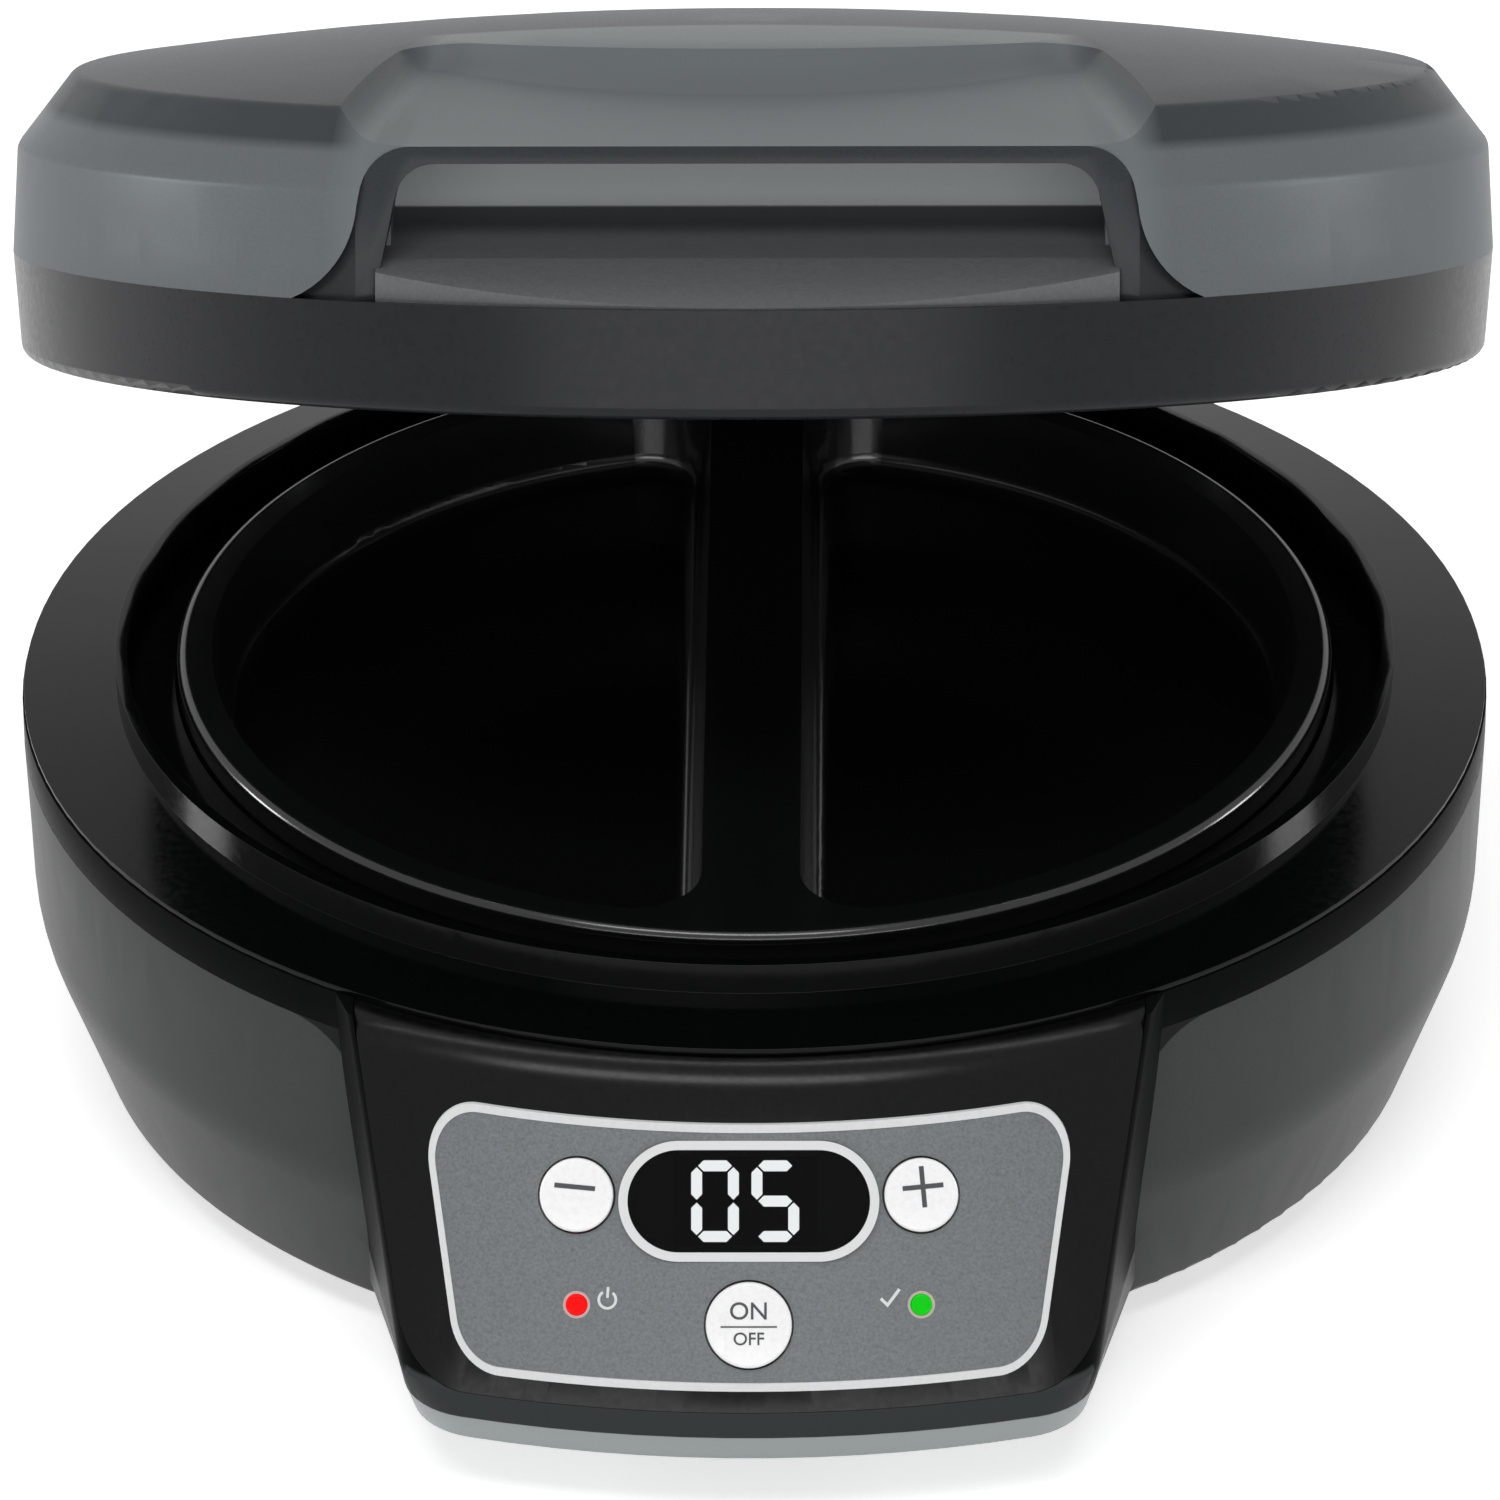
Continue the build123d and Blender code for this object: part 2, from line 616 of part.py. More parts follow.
# Base: lower cooking plate, a flanged disc with two tapered half-moon wells
with BuildPart() as lower_cooking_plate:
    with BuildSketch(base_level(DECK_Z + PLATE_TOP, down=True)):
        Circle(PLATE_R)
    extrude(amount=PLATE_WALL)
    with BuildSketch(base_level(DECK_Z + PLATE_TOP, down=True)):
        Circle(PLATE_R)
        Circle(PLATE_R - PLATE_WALL, mode=Mode.SUBTRACT)
    extrude(amount=LOWER_RIM_DEPTH)
    fillet(lower_cooking_plate.edges().group_by(Axis.Z)[-1], PLATE_RIM_ROUND)
    with BuildSketch(base_level(DECK_Z + PLATE_TOP - PLATE_WALL, down=True)) as tubs:
        wells(tubs, WELL_R + PLATE_WALL, DIVIDER_WIDTH - 2 * PLATE_WALL, WELL_CORNER_R + PLATE_WALL)
    extrude(amount=WELL_DEPTH, taper=WELL_DRAFT)
    with BuildSketch(base_level(DECK_Z + PLATE_TOP, down=True)) as hollows:
        wells(hollows)
    extrude(amount=WELL_DEPTH, taper=WELL_DRAFT, mode=Mode.SUBTRACT)
    floor_faces = lower_cooking_plate.faces().filter_by(
        lambda face: abs(face.center().Z - (DECK_Z + PLATE_TOP - WELL_DEPTH)) < SEAM
    )
    fillet(floor_faces.edges(), WELL_FLOOR_ROUND)
lower_cooking_plate.part.label = "lower_cooking_plate"
export_step(lower_cooking_plate.part, "parts/lower_cooking_plate.step")


# Base: heating element, a bent rod under the wells, and what holds it
PLATE_UNDER = DECK_Z + PLATE_TOP - WELL_DEPTH - PLATE_WALL
ELEMENT_START = -90 + (360 - ELEMENT_SWEEP) / 2
CLIP_ANGLES = (0, 90, 180)
PIN_ANGLES = (ELEMENT_START, ELEMENT_START + ELEMENT_SWEEP)


def radial(angle):
    """A horizontal direction from the round axis."""
    return Vector(cos(radians(angle)), sin(radians(angle)), 0)


with BuildPart() as lower_heating_element:
    across = radial(ELEMENT_START)
    with BuildSketch(Plane(origin=(0, AXIS_Y, 0), x_dir=across, z_dir=across.cross(Vector(0, 0, 1)))):
        with Locations((ELEMENT_RING_R, PLATE_UNDER - ELEMENT_R)):
            Circle(ELEMENT_R)
    revolve(axis=base_axis, revolution_arc=ELEMENT_SWEEP)
    with BuildSketch(base_level(PLATE_UNDER - ELEMENT_R, down=True)):
        for angle in PIN_ANGLES:
            with Locations(radial(-angle) * ELEMENT_RING_R):
                Circle(ELEMENT_R)
    extrude(amount=ELEMENT_R)
    with BuildSketch(base_level(PLATE_UNDER - ELEMENT_R, down=True)):
        for angle in PIN_ANGLES:
            with Locations(radial(-angle) * ELEMENT_RING_R):
                Circle(ELEMENT_PIN_R)
    extrude(amount=ELEMENT_PIN_LENGTH)
lower_heating_element.part.label = "lower_heating_element"
export_step(lower_heating_element.part, "parts/lower_heating_element.step")

with BuildPart() as lower_element_clips:
    with BuildSketch(base_level(PLATE_UNDER, down=True)):
        for angle in CLIP_ANGLES:
            with Locations(Location(radial(-angle) * ELEMENT_RING_R, (0, 0, -angle))):
                Rectangle(CLIP_WIDTH, CLIP_DEPTH)
    extrude(amount=2 * ELEMENT_R + CLIP_WALL)
    with BuildSketch(base_section):
        with Locations((ELEMENT_RING_R, PLATE_UNDER - ELEMENT_R)):
            Circle(ELEMENT_R)
        with Locations((ELEMENT_RING_R, PLATE_UNDER)):
            Rectangle(2 * ELEMENT_R, 2 * ELEMENT_R)
    revolve(axis=base_axis, mode=Mode.SUBTRACT)
lower_element_clips.part.label = "lower_element_clips"
export_step(lower_element_clips.part, "parts/lower_element_clips.step")


# Base: reflector dish under the element, with its screws, thermostat and thermal fuse
DISH_FLOOR = PLATE_UNDER - 2 * ELEMENT_R - REFLECTOR_GAP
FLANGE_TOP = DECK_Z - SKIRT_DEPTH
with BuildPart() as lower_reflector:
    with BuildSketch(base_section):
        outline(
            (0, DISH_FLOOR),
            (REFLECTOR_R, DISH_FLOOR),
            (REFLECTOR_R, FLANGE_TOP),
            (REFLECTOR_FLANGE_R, FLANGE_TOP),
            (REFLECTOR_FLANGE_R, FLANGE_TOP - REFLECTOR_THICK),
            (REFLECTOR_R + REFLECTOR_THICK, FLANGE_TOP - REFLECTOR_THICK),
            (REFLECTOR_R + REFLECTOR_THICK, DISH_FLOOR - REFLECTOR_THICK),
            (0, DISH_FLOOR - REFLECTOR_THICK),
        )
    revolve(axis=base_axis)
    with BuildSketch(base_level(DECK_Z)):
        with PolarLocations(POST_RING_R, 4, start_angle=45):
            Circle(POST_R + POST_CLEAR)
        with PolarLocations(FLANGE_SCREW_RING_R, 4):
            Circle(SCREW_R)
        for angle in PIN_ANGLES:
            with Locations(radial(angle) * ELEMENT_RING_R):
                Circle(ELEMENT_PIN_R + POST_CLEAR)
    extrude(amount=-DECK_Z, mode=Mode.SUBTRACT)
lower_reflector.part.label = "lower_reflector"
export_step(lower_reflector.part, "parts/lower_reflector.step")

with BuildPart() as reflector_screws:
    with BuildSketch(base_level(FLANGE_TOP - REFLECTOR_THICK, down=True)):
        with PolarLocations(FLANGE_SCREW_RING_R, 4):
            Circle(SCREW_HEAD_R)
    extrude(amount=SCREW_HEAD)
    with BuildSketch(base_level(FLANGE_TOP - REFLECTOR_THICK)):
        with PolarLocations(FLANGE_SCREW_RING_R, 4):
            Circle(SCREW_R)
    extrude(amount=SCREW_LENGTH)
reflector_screws.part.label = "reflector_screws"
export_step(reflector_screws.part, "parts/reflector_screws.step")

with BuildPart() as lower_thermostat:
    with BuildSketch(base_level(PLATE_UNDER, down=True)):
        with Locations((THERMOSTAT_REACH, 0)):
            Circle(THERMOSTAT_R)
    extrude(amount=THERMOSTAT_HEIGHT)
lower_thermostat.part.label = "lower_thermostat"
export_step(lower_thermostat.part, "parts/lower_thermostat.step")

with BuildPart() as thermal_fuse:
    fuse_place = (-THERMOSTAT_REACH, AXIS_Y, DISH_FLOOR - REFLECTOR_THICK - FUSE_R)
    with BuildSketch(Plane(origin=fuse_place, z_dir=(1, 0, 0))):
        Circle(FUSE_R)
    extrude(amount=FUSE_LENGTH)
    with BuildSketch(base_level(DISH_FLOOR - REFLECTOR_THICK, down=True)):
        with Locations((-THERMOSTAT_REACH + FUSE_LENGTH / 2, 0)):
            Rectangle(FUSE_LENGTH / 2, 2 * FUSE_R)
    extrude(amount=FUSE_R)
thermal_fuse.part.label = "thermal_fuse"
export_step(thermal_fuse.part, "parts/thermal_fuse.step")


# Base: bottom cover with the power board on standoffs, its screws and the rubber feet
COVER_TOP = FOOT_HEIGHT + COVER_THICK
FOOT_ANGLES = (-FRONT_FOOT_ANGLE, 180 + FRONT_FOOT_ANGLE, REAR_FOOT_ANGLE, 180 - REAR_FOOT_ANGLE)
POWER_SCREW_X = POWER_BOARD_WIDTH / 2 - 2 * SCREW_HEAD_R
POWER_SCREW_Y = POWER_BOARD_LENGTH / 2 - 2 * SCREW_HEAD_R
with BuildPart() as bottom_cover:
    with BuildSketch(base_level(FOOT_HEIGHT)):
        Circle(BOTTOM_R - WALL - COVER_GAP)
    extrude(amount=COVER_THICK)
    with BuildSketch(base_level(COVER_TOP)):
        with Locations((0, POWER_BOARD_BACK)):
            with GridLocations(2 * POWER_SCREW_X, 2 * POWER_SCREW_Y, 2, 2):
                Circle(2 * SCREW_R)
    extrude(amount=POWER_BOARD_RISE)
    with BuildSketch(base_level(COVER_TOP + POWER_BOARD_RISE, down=True)):
        with Locations((0, -POWER_BOARD_BACK)):
            with GridLocations(2 * POWER_SCREW_X, 2 * POWER_SCREW_Y, 2, 2):
                Circle(SCREW_R)
    extrude(amount=SCREW_LENGTH - BOARD_THICK, mode=Mode.SUBTRACT)
    with BuildSketch(base_level(FOOT_HEIGHT)):
        with PolarLocations(POST_RING_R, 4, start_angle=45):
            Circle(SCREW_R)
        for angle in FOOT_ANGLES:
            with Locations(radial(angle) * FOOT_RING_R):
                Circle(STUD_R)
    extrude(amount=COVER_THICK, mode=Mode.SUBTRACT)
bottom_cover.part.label = "bottom_cover"
export_step(bottom_cover.part, "parts/bottom_cover.step")

with BuildPart() as base_screws:
    with BuildSketch(base_level(FOOT_HEIGHT, down=True)):
        with PolarLocations(POST_RING_R, 4, start_angle=45):
            Circle(SCREW_HEAD_R)
    extrude(amount=SCREW_HEAD)
    with BuildSketch(base_level(FOOT_HEIGHT)):
        with PolarLocations(POST_RING_R, 4, start_angle=45):
            Circle(SCREW_R)
    extrude(amount=SCREW_LENGTH + COVER_THICK)
base_screws.part.label = "base_screws"
export_step(base_screws.part, "parts/base_screws.step")

with BuildPart() as feet:
    with BuildSketch(base_level(0)):
        for angle in FOOT_ANGLES:
            with Locations(radial(angle) * FOOT_RING_R):
                Circle(FOOT_R)
    extrude(amount=FOOT_HEIGHT)
    fillet(feet.edges().group_by(Axis.Z)[0], FOOT_ROUND)
    with BuildSketch(base_level(FOOT_HEIGHT)):
        for angle in FOOT_ANGLES:
            with Locations(radial(angle) * FOOT_RING_R):
                Circle(STUD_R)
    extrude(amount=COVER_THICK)
    with BuildSketch(base_level(COVER_TOP)):
        for angle in FOOT_ANGLES:
            with Locations(radial(angle) * FOOT_RING_R):
                Circle(STUD_HEAD_R)
    extrude(amount=FOOT_ROUND)
feet.part.label = "feet"
export_step(feet.part, "parts/feet.step")

with BuildPart() as power_board:
    with BuildSketch(base_level(COVER_TOP + POWER_BOARD_RISE)):
        with Locations((0, POWER_BOARD_BACK)):
            Rectangle(POWER_BOARD_WIDTH, POWER_BOARD_LENGTH)
            with GridLocations(2 * POWER_SCREW_X, 2 * POWER_SCREW_Y, 2, 2):
                Circle(SCREW_R, mode=Mode.SUBTRACT)
    extrude(amount=BOARD_THICK)
    # Transformer, relay and capacitor
    with BuildSketch(base_level(COVER_TOP + POWER_BOARD_RISE + BOARD_THICK)):
        with Locations((TRANSFORMER_X, POWER_BOARD_BACK)):
            Rectangle(TRANSFORMER_WIDTH, TRANSFORMER_LENGTH)
        with Locations((RELAY_X, POWER_BOARD_BACK + RELAY_BACK)):
            Rectangle(RELAY_WIDTH, RELAY_LENGTH)
        with Locations((CAPACITOR_X, POWER_BOARD_BACK - CAPACITOR_FRONT)):
            Circle(CAPACITOR_R)
    extrude(amount=POWER_BLOCK_HEIGHT)
power_board.part.label = "power_board"
export_step(power_board.part, "parts/power_board.step")

with BuildPart() as power_board_screws:
    with BuildSketch(base_level(COVER_TOP + POWER_BOARD_RISE + BOARD_THICK)):
        with Locations((0, POWER_BOARD_BACK)):
            with GridLocations(2 * POWER_SCREW_X, 2 * POWER_SCREW_Y, 2, 2):
                Circle(SCREW_HEAD_R)
    extrude(amount=SCREW_HEAD)
    with BuildSketch(base_level(COVER_TOP + POWER_BOARD_RISE + BOARD_THICK, down=True)):
        with Locations((0, -POWER_BOARD_BACK)):
            with GridLocations(2 * POWER_SCREW_X, 2 * POWER_SCREW_Y, 2, 2):
                Circle(SCREW_R)
    extrude(amount=SCREW_LENGTH)
power_board_screws.part.label = "power_board_screws"
export_step(power_board_screws.part, "parts/power_board_screws.step")


# Base: gland that lines the cord hole at the back
gland_plane = Plane(origin=(0, AXIS_Y + GLAND_IN, GLAND_HEIGHT), x_dir=(1, 0, 0), z_dir=(0, 1, 0))
with BuildPart() as cord_gland:
    with BuildSketch(gland_plane):
        Circle(GLAND_FLANGE_R)
    extrude(amount=GLAND_OUT - GLAND_IN)
    add(round_form.part, mode=Mode.SUBTRACT)
    with BuildSketch(gland_plane):
        Circle(GLAND_R)
    extrude(amount=GLAND_OUT - GLAND_IN)
    with BuildSketch(gland_plane):
        Circle(CORD_BORE_R)
    extrude(amount=GLAND_OUT - GLAND_IN, mode=Mode.SUBTRACT)
cord_gland.part.label = "cord_gland"
export_step(cord_gland.part, "parts/cord_gland.step")


# Console: printed label and its bright outline, thin skins on the fascia's cone
def label_half(drop):
    """Half width of the label at a drop below the deck edge."""
    taper = (PANEL_HALF_TOP - PANEL_HALF_BOTTOM) / PANEL_HEIGHT
    return PANEL_HALF_TOP - taper * (drop - PANEL_TOP_DROP)


def label_front(shape, inset=0.0):
    """The label's outline as seen from the front."""
    top = PANEL_TOP_DROP + inset
    low = PANEL_TOP_DROP + PANEL_HEIGHT - inset
    outline(
        (-label_half(top) + inset, DECK_Z - top),
        (label_half(top) - inset, DECK_Z - top),
        (label_half(low) - inset, DECK_Z - low),
        (-label_half(low) + inset, DECK_Z - low),
    )
    fillet(shape.vertices(), PANEL_CORNER_R - inset)


def skin_section(thick):
    """A skin of one thickness on the fascia's cone, cone radius against height."""
    top = PANEL_TOP_DROP - SKIN_SPARE
    low = FASCIA_BOTTOM_DROP
    out = thick / TILT_COS
    outline(
        (reach_at(top) + CONE_BACK, DECK_Z - top),
        (reach_at(top) + CONE_BACK + out, DECK_Z - top),
        (reach_at(low) + CONE_BACK + out, DECK_Z - low),
        (reach_at(low) + CONE_BACK, DECK_Z - low),
    )


with BuildPart() as label_panel:
    with BuildSketch(cone_section):
        skin_section(PANEL_THICK)
    revolve(axis=cone_axis)
    with BuildSketch(base_section) as label_shape:
        label_front(label_shape, OUTLINE_WIDTH)
    extrude(amount=2 * DECK_R, mode=Mode.INTERSECT)
    with BuildSketch(on_panel(0, WINDOW_UP, BOARD_DEPTH / 2)):
        SlotOverall(WINDOW_WIDTH + 2 * BEZEL_WIDTH, WINDOW_HEIGHT + 2 * BEZEL_WIDTH)
    extrude(amount=BOARD_DEPTH, mode=Mode.SUBTRACT)
    with BuildSketch(on_panel(0, 0, BOARD_DEPTH / 2)):
        with Locations((-SIDE_BUTTON_X, SIDE_BUTTON_UP), (SIDE_BUTTON_X, SIDE_BUTTON_UP)):
            Circle(SIDE_BUTTON_R + BUTTON_GAP)
        with Locations((0, -START_BUTTON_DOWN)):
            Circle(START_BUTTON_R + BUTTON_GAP)
        with Locations((-LAMP_X, -LAMP_DOWN), (LAMP_X, -LAMP_DOWN)):
            Circle(LAMP_RING_R)
    extrude(amount=BOARD_DEPTH, mode=Mode.SUBTRACT)
label_panel.part.label = "label_panel"
export_step(label_panel.part, "parts/label_panel.step")

with BuildPart() as panel_outline:
    with BuildSketch(cone_section):
        skin_section(OUTLINE_THICK)
    revolve(axis=cone_axis)
    with BuildSketch(base_section) as outline_shape:
        label_front(outline_shape)
    extrude(amount=2 * DECK_R, mode=Mode.INTERSECT)
    with BuildSketch(base_section) as outline_hole:
        label_front(outline_hole, OUTLINE_WIDTH)
    extrude(amount=2 * DECK_R, mode=Mode.SUBTRACT)
panel_outline.part.label = "panel_outline"
export_step(panel_outline.part, "parts/panel_outline.step")


# Console: display bezel, lens, digit module and its segments
with BuildPart() as display_bezel:
    with BuildSketch(on_panel(0, WINDOW_UP, -BEZEL_PROUD)):
        SlotOverall(WINDOW_WIDTH, WINDOW_HEIGHT)
    extrude(amount=-(BEZEL_PROUD + BEZEL_DEPTH))
    with BuildSketch(on_panel(0, WINDOW_UP, -BEZEL_PROUD)):
        SlotOverall(WINDOW_WIDTH + 2 * BEZEL_WIDTH, WINDOW_HEIGHT + 2 * BEZEL_WIDTH)
        SlotOverall(WINDOW_WIDTH, WINDOW_HEIGHT, mode=Mode.SUBTRACT)
    extrude(amount=-(BEZEL_PROUD + BEZEL_DEPTH / 2))
    add(console_fascia.part, mode=Mode.SUBTRACT)
    with BuildSketch(on_panel(0, WINDOW_UP, -BEZEL_PROUD)):
        SlotOverall(WINDOW_WIDTH - 2 * BEZEL_WIDTH, WINDOW_HEIGHT - 2 * BEZEL_WIDTH)
    extrude(amount=-(BEZEL_PROUD + LENS_THICK + LENS_GAP), mode=Mode.SUBTRACT)
    with BuildSketch(on_panel(0, WINDOW_UP, -BEZEL_PROUD)):
        SlotOverall(
            WINDOW_WIDTH - 2 * BEZEL_WIDTH - 2 * BEZEL_LEDGE,
            WINDOW_HEIGHT - 2 * BEZEL_WIDTH - 2 * BEZEL_LEDGE,
        )
    extrude(amount=-2 * BOARD_DEPTH, mode=Mode.SUBTRACT)
display_bezel.part.label = "display_bezel"
export_step(display_bezel.part, "parts/display_bezel.step")

with BuildPart() as display_window:
    with BuildSketch(on_panel(0, WINDOW_UP, LENS_THICK + LENS_GAP)):
        SlotOverall(
            WINDOW_WIDTH - 2 * BEZEL_WIDTH - 2 * LENS_GAP,
            WINDOW_HEIGHT - 2 * BEZEL_WIDTH - 2 * LENS_GAP,
        )
    extrude(amount=LENS_THICK)
display_window.part.label = "display_window"
export_step(display_window.part, "parts/display_window.step")

DIGIT_CENTRES = (DIGIT_SHIFT - DIGIT_PITCH / 2, DIGIT_SHIFT + DIGIT_PITCH / 2)
with BuildPart() as display_module:
    with BuildSketch(on_panel(0, WINDOW_UP, BOARD_DEPTH)):
        with Locations((DIGIT_SHIFT, 0)):
            Rectangle(MODULE_WIDTH, MODULE_HEIGHT)
    extrude(amount=BOARD_DEPTH - MODULE_FACE - SEGMENT_THICK)
display_module.part.label = "display_module"
export_step(display_module.part, "parts/display_module.step")

SEGMENT_X = (DIGIT_WIDTH - SEGMENT_WIDTH) / 2
SEGMENT_Y = (DIGIT_HEIGHT - SEGMENT_WIDTH) / 2
SEGMENT_PLACES = {
    "top": (0, SEGMENT_Y, False),
    "middle": (0, 0, False),
    "bottom": (0, -SEGMENT_Y, False),
    "left high": (-SEGMENT_X, SEGMENT_Y / 2, True),
    "left low": (-SEGMENT_X, -SEGMENT_Y / 2, True),
    "right high": (SEGMENT_X, SEGMENT_Y / 2, True),
    "right low": (SEGMENT_X, -SEGMENT_Y / 2, True),
}
ZERO = ("top", "bottom", "left high", "left low", "right high", "right low")
FIVE = ("top", "middle", "bottom", "left high", "right low")


def segment(name, digit_x):
    """One bar of a digit, pointed at both ends."""
    x, y, upright = SEGMENT_PLACES[name]
    half = SEGMENT_WIDTH / 2
    reach = (SEGMENT_Y / 2 if upright else SEGMENT_X) - SEGMENT_GAP
    bar = ((-reach, 0), (-reach + half, half), (reach - half, half), (reach, 0))
    bar += ((reach - half, -half), (-reach + half, -half))
    if upright:
        outline(*((digit_x + x - v, y + u) for u, v in bar))
    else:
        outline(*((digit_x + x + u, y + v) for u, v in bar))


with BuildPart() as lit_segments:
    with BuildSketch(on_panel(0, WINDOW_UP, MODULE_FACE + SEGMENT_THICK)):
        for digit_x, digit in zip(DIGIT_CENTRES, (ZERO, FIVE)):
            for name in digit:
                segment(name, digit_x)
    extrude(amount=SEGMENT_THICK)
lit_segments.part.label = "lit_segments"
export_step(lit_segments.part, "parts/lit_segments.step")

with BuildPart() as unlit_segments:
    with BuildSketch(on_panel(0, WINDOW_UP, MODULE_FACE + SEGMENT_THICK)):
        for digit_x, digit in zip(DIGIT_CENTRES, (ZERO, FIVE)):
            for name in SEGMENT_PLACES:
                if name not in digit:
                    segment(name, digit_x)
    extrude(amount=SEGMENT_THICK)
unlit_segments.part.label = "unlit_segments"
export_step(unlit_segments.part, "parts/unlit_segments.step")


# Console: three push buttons, their plungers and switches
with BuildPart() as button_skin:
    with BuildSketch(cone_section):
        out = BUTTON_PROUD / TILT_COS
        outline(
            (0, DECK_Z),
            (reach_at(0) + CONE_BACK + out, DECK_Z),
            (reach_at(POD_LIP_DROP) + CONE_BACK + out, DECK_Z - POD_LIP_DROP),
            (0, DECK_Z - POD_LIP_DROP),
        )
    revolve(axis=cone_axis)

SWITCH_FACE = BOARD_DEPTH - SWITCH_HEIGHT
STEM_END = SWITCH_FACE - BUTTON_TRAVEL - PLUNGER_GAP


def button_shape(x, up, radius):
    """A cap with a flange under the fascia and a stem towards its switch."""
    depth = sink(x, up) + BUTTON_SEAT
    with BuildPart() as shape:
        with BuildSketch(on_panel(x, up, depth + BUTTON_FLANGE)):
            Circle(radius)
        extrude(amount=depth + BUTTON_FLANGE + 2 * BUTTON_PROUD)
        add(button_skin.part, mode=Mode.INTERSECT)
        with BuildSketch(on_panel(x, up, depth + BUTTON_FLANGE)):
            Circle(radius + BUTTON_FLANGE)
        extrude(amount=BUTTON_FLANGE)
        with BuildSketch(on_panel(x, up, STEM_END)):
            Circle(BUTTON_STEM_R)
        extrude(amount=STEM_END - depth - BUTTON_FLANGE)
    return shape.part


def plunger_shape(x, up):
    """The pin between a button's stem and its switch."""
    with BuildPart() as shape:
        with BuildSketch(on_panel(x, up, SWITCH_FACE + PLUNGER_REST)):
            Circle(PLUNGER_R)
        extrude(amount=SWITCH_FACE + PLUNGER_REST - STEM_END)
    return shape.part


with BuildPart() as minus_button:
    add(button_shape(-SIDE_BUTTON_X, SIDE_BUTTON_UP, SIDE_BUTTON_R))
minus_button.part.label = "minus_button"
export_step(minus_button.part, "parts/minus_button.step")

with BuildPart() as plus_button:
    add(button_shape(SIDE_BUTTON_X, SIDE_BUTTON_UP, SIDE_BUTTON_R))
plus_button.part.label = "plus_button"
export_step(plus_button.part, "parts/plus_button.step")

with BuildPart() as start_button:
    add(button_shape(0, -START_BUTTON_DOWN, START_BUTTON_R))
start_button.part.label = "start_button"
export_step(start_button.part, "parts/start_button.step")

with BuildPart() as minus_plunger:
    add(plunger_shape(-SIDE_BUTTON_X, SIDE_BUTTON_UP))
minus_plunger.part.label = "minus_plunger"
export_step(minus_plunger.part, "parts/minus_plunger.step")

with BuildPart() as plus_plunger:
    add(plunger_shape(SIDE_BUTTON_X, SIDE_BUTTON_UP))
plus_plunger.part.label = "plus_plunger"
export_step(plus_plunger.part, "parts/plus_plunger.step")

with BuildPart() as start_plunger:
    add(plunger_shape(0, -START_BUTTON_DOWN))
start_plunger.part.label = "start_plunger"
export_step(start_plunger.part, "parts/start_plunger.step")

with BuildPart() as tact_switches:
    with BuildSketch(on_panel(0, 0, BOARD_DEPTH)):
        with Locations(
            (-SIDE_BUTTON_X, SIDE_BUTTON_UP), (SIDE_BUTTON_X, SIDE_BUTTON_UP), (0, -START_BUTTON_DOWN)
        ):
            Rectangle(SWITCH_SIDE, SWITCH_SIDE)
    extrude(amount=SWITCH_HEIGHT)
    with BuildSketch(on_panel(0, 0, SWITCH_FACE)):
        with Locations(
            (-SIDE_BUTTON_X, SIDE_BUTTON_UP), (SIDE_BUTTON_X, SIDE_BUTTON_UP), (0, -START_BUTTON_DOWN)
        ):
            Circle(PLUNGER_R + PLUNGER_GAP)
    extrude(amount=-(PLUNGER_REST + BUTTON_TRAVEL + PLUNGER_GAP), mode=Mode.SUBTRACT)
tact_switches.part.label = "tact_switches"
export_step(tact_switches.part, "parts/tact_switches.step")


# Console: lamps, their rings and the lights behind them
def lamp_shape(x):
    """A light pipe through the fascia."""
    with BuildPart() as shape:
        with BuildSketch(on_panel(x, -LAMP_DOWN, sink(x, -LAMP_DOWN) + LAMP_DEPTH)):
            Circle(LAMP_R)
        extrude(amount=LAMP_DEPTH + LAMP_PROUD)
        fillet(shape.edges().sort_by(Axis(panel_plane.origin, panel_plane.z_dir))[-1], LAMP_PROUD)
    return shape.part


with BuildPart() as power_lamp:
    add(lamp_shape(-LAMP_X))
power_lamp.part.label = "power_lamp"
export_step(power_lamp.part, "parts/power_lamp.step")

with BuildPart() as ready_lamp:
    add(lamp_shape(LAMP_X))
ready_lamp.part.label = "ready_lamp"
export_step(ready_lamp.part, "parts/ready_lamp.step")

with BuildPart() as lamp_rings:
    with BuildSketch(cone_section):
        skin_section(OUTLINE_THICK)
    revolve(axis=cone_axis)
    with BuildSketch(on_panel(0, 0, BOARD_DEPTH / 2)):
        with Locations((-LAMP_X, -LAMP_DOWN), (LAMP_X, -LAMP_DOWN)):
            Circle(LAMP_RING_R)
            Circle(LAMP_R, mode=Mode.SUBTRACT)
    extrude(amount=BOARD_DEPTH, mode=Mode.INTERSECT)
lamp_rings.part.label = "lamp_rings"
export_step(lamp_rings.part, "parts/lamp_rings.step")

LED_TOP = sink(LAMP_X, -LAMP_DOWN) + LAMP_DEPTH + LED_GAP
with BuildPart() as lamp_leds:
    with BuildSketch(on_panel(0, -LAMP_DOWN, BOARD_DEPTH)):
        with Locations((-LAMP_X, 0), (LAMP_X, 0)):
            Circle(LED_R)
    extrude(amount=BOARD_DEPTH - LED_TOP)
lamp_leds.part.label = "lamp_leds"
export_step(lamp_leds.part, "parts/lamp_leds.step")

with BuildPart() as control_board:
    with BuildSketch(on_panel(0, 0, BOARD_DEPTH)):
        Rectangle(BOARD_WIDTH, BOARD_HEIGHT)
        with GridLocations(2 * BOARD_SCREW_X, 2 * BOARD_SCREW_UP, 2, 2):
            Circle(SCREW_R, mode=Mode.SUBTRACT)
    extrude(amount=-BOARD_THICK)
control_board.part.label = "control_board"
export_step(control_board.part, "parts/control_board.step")

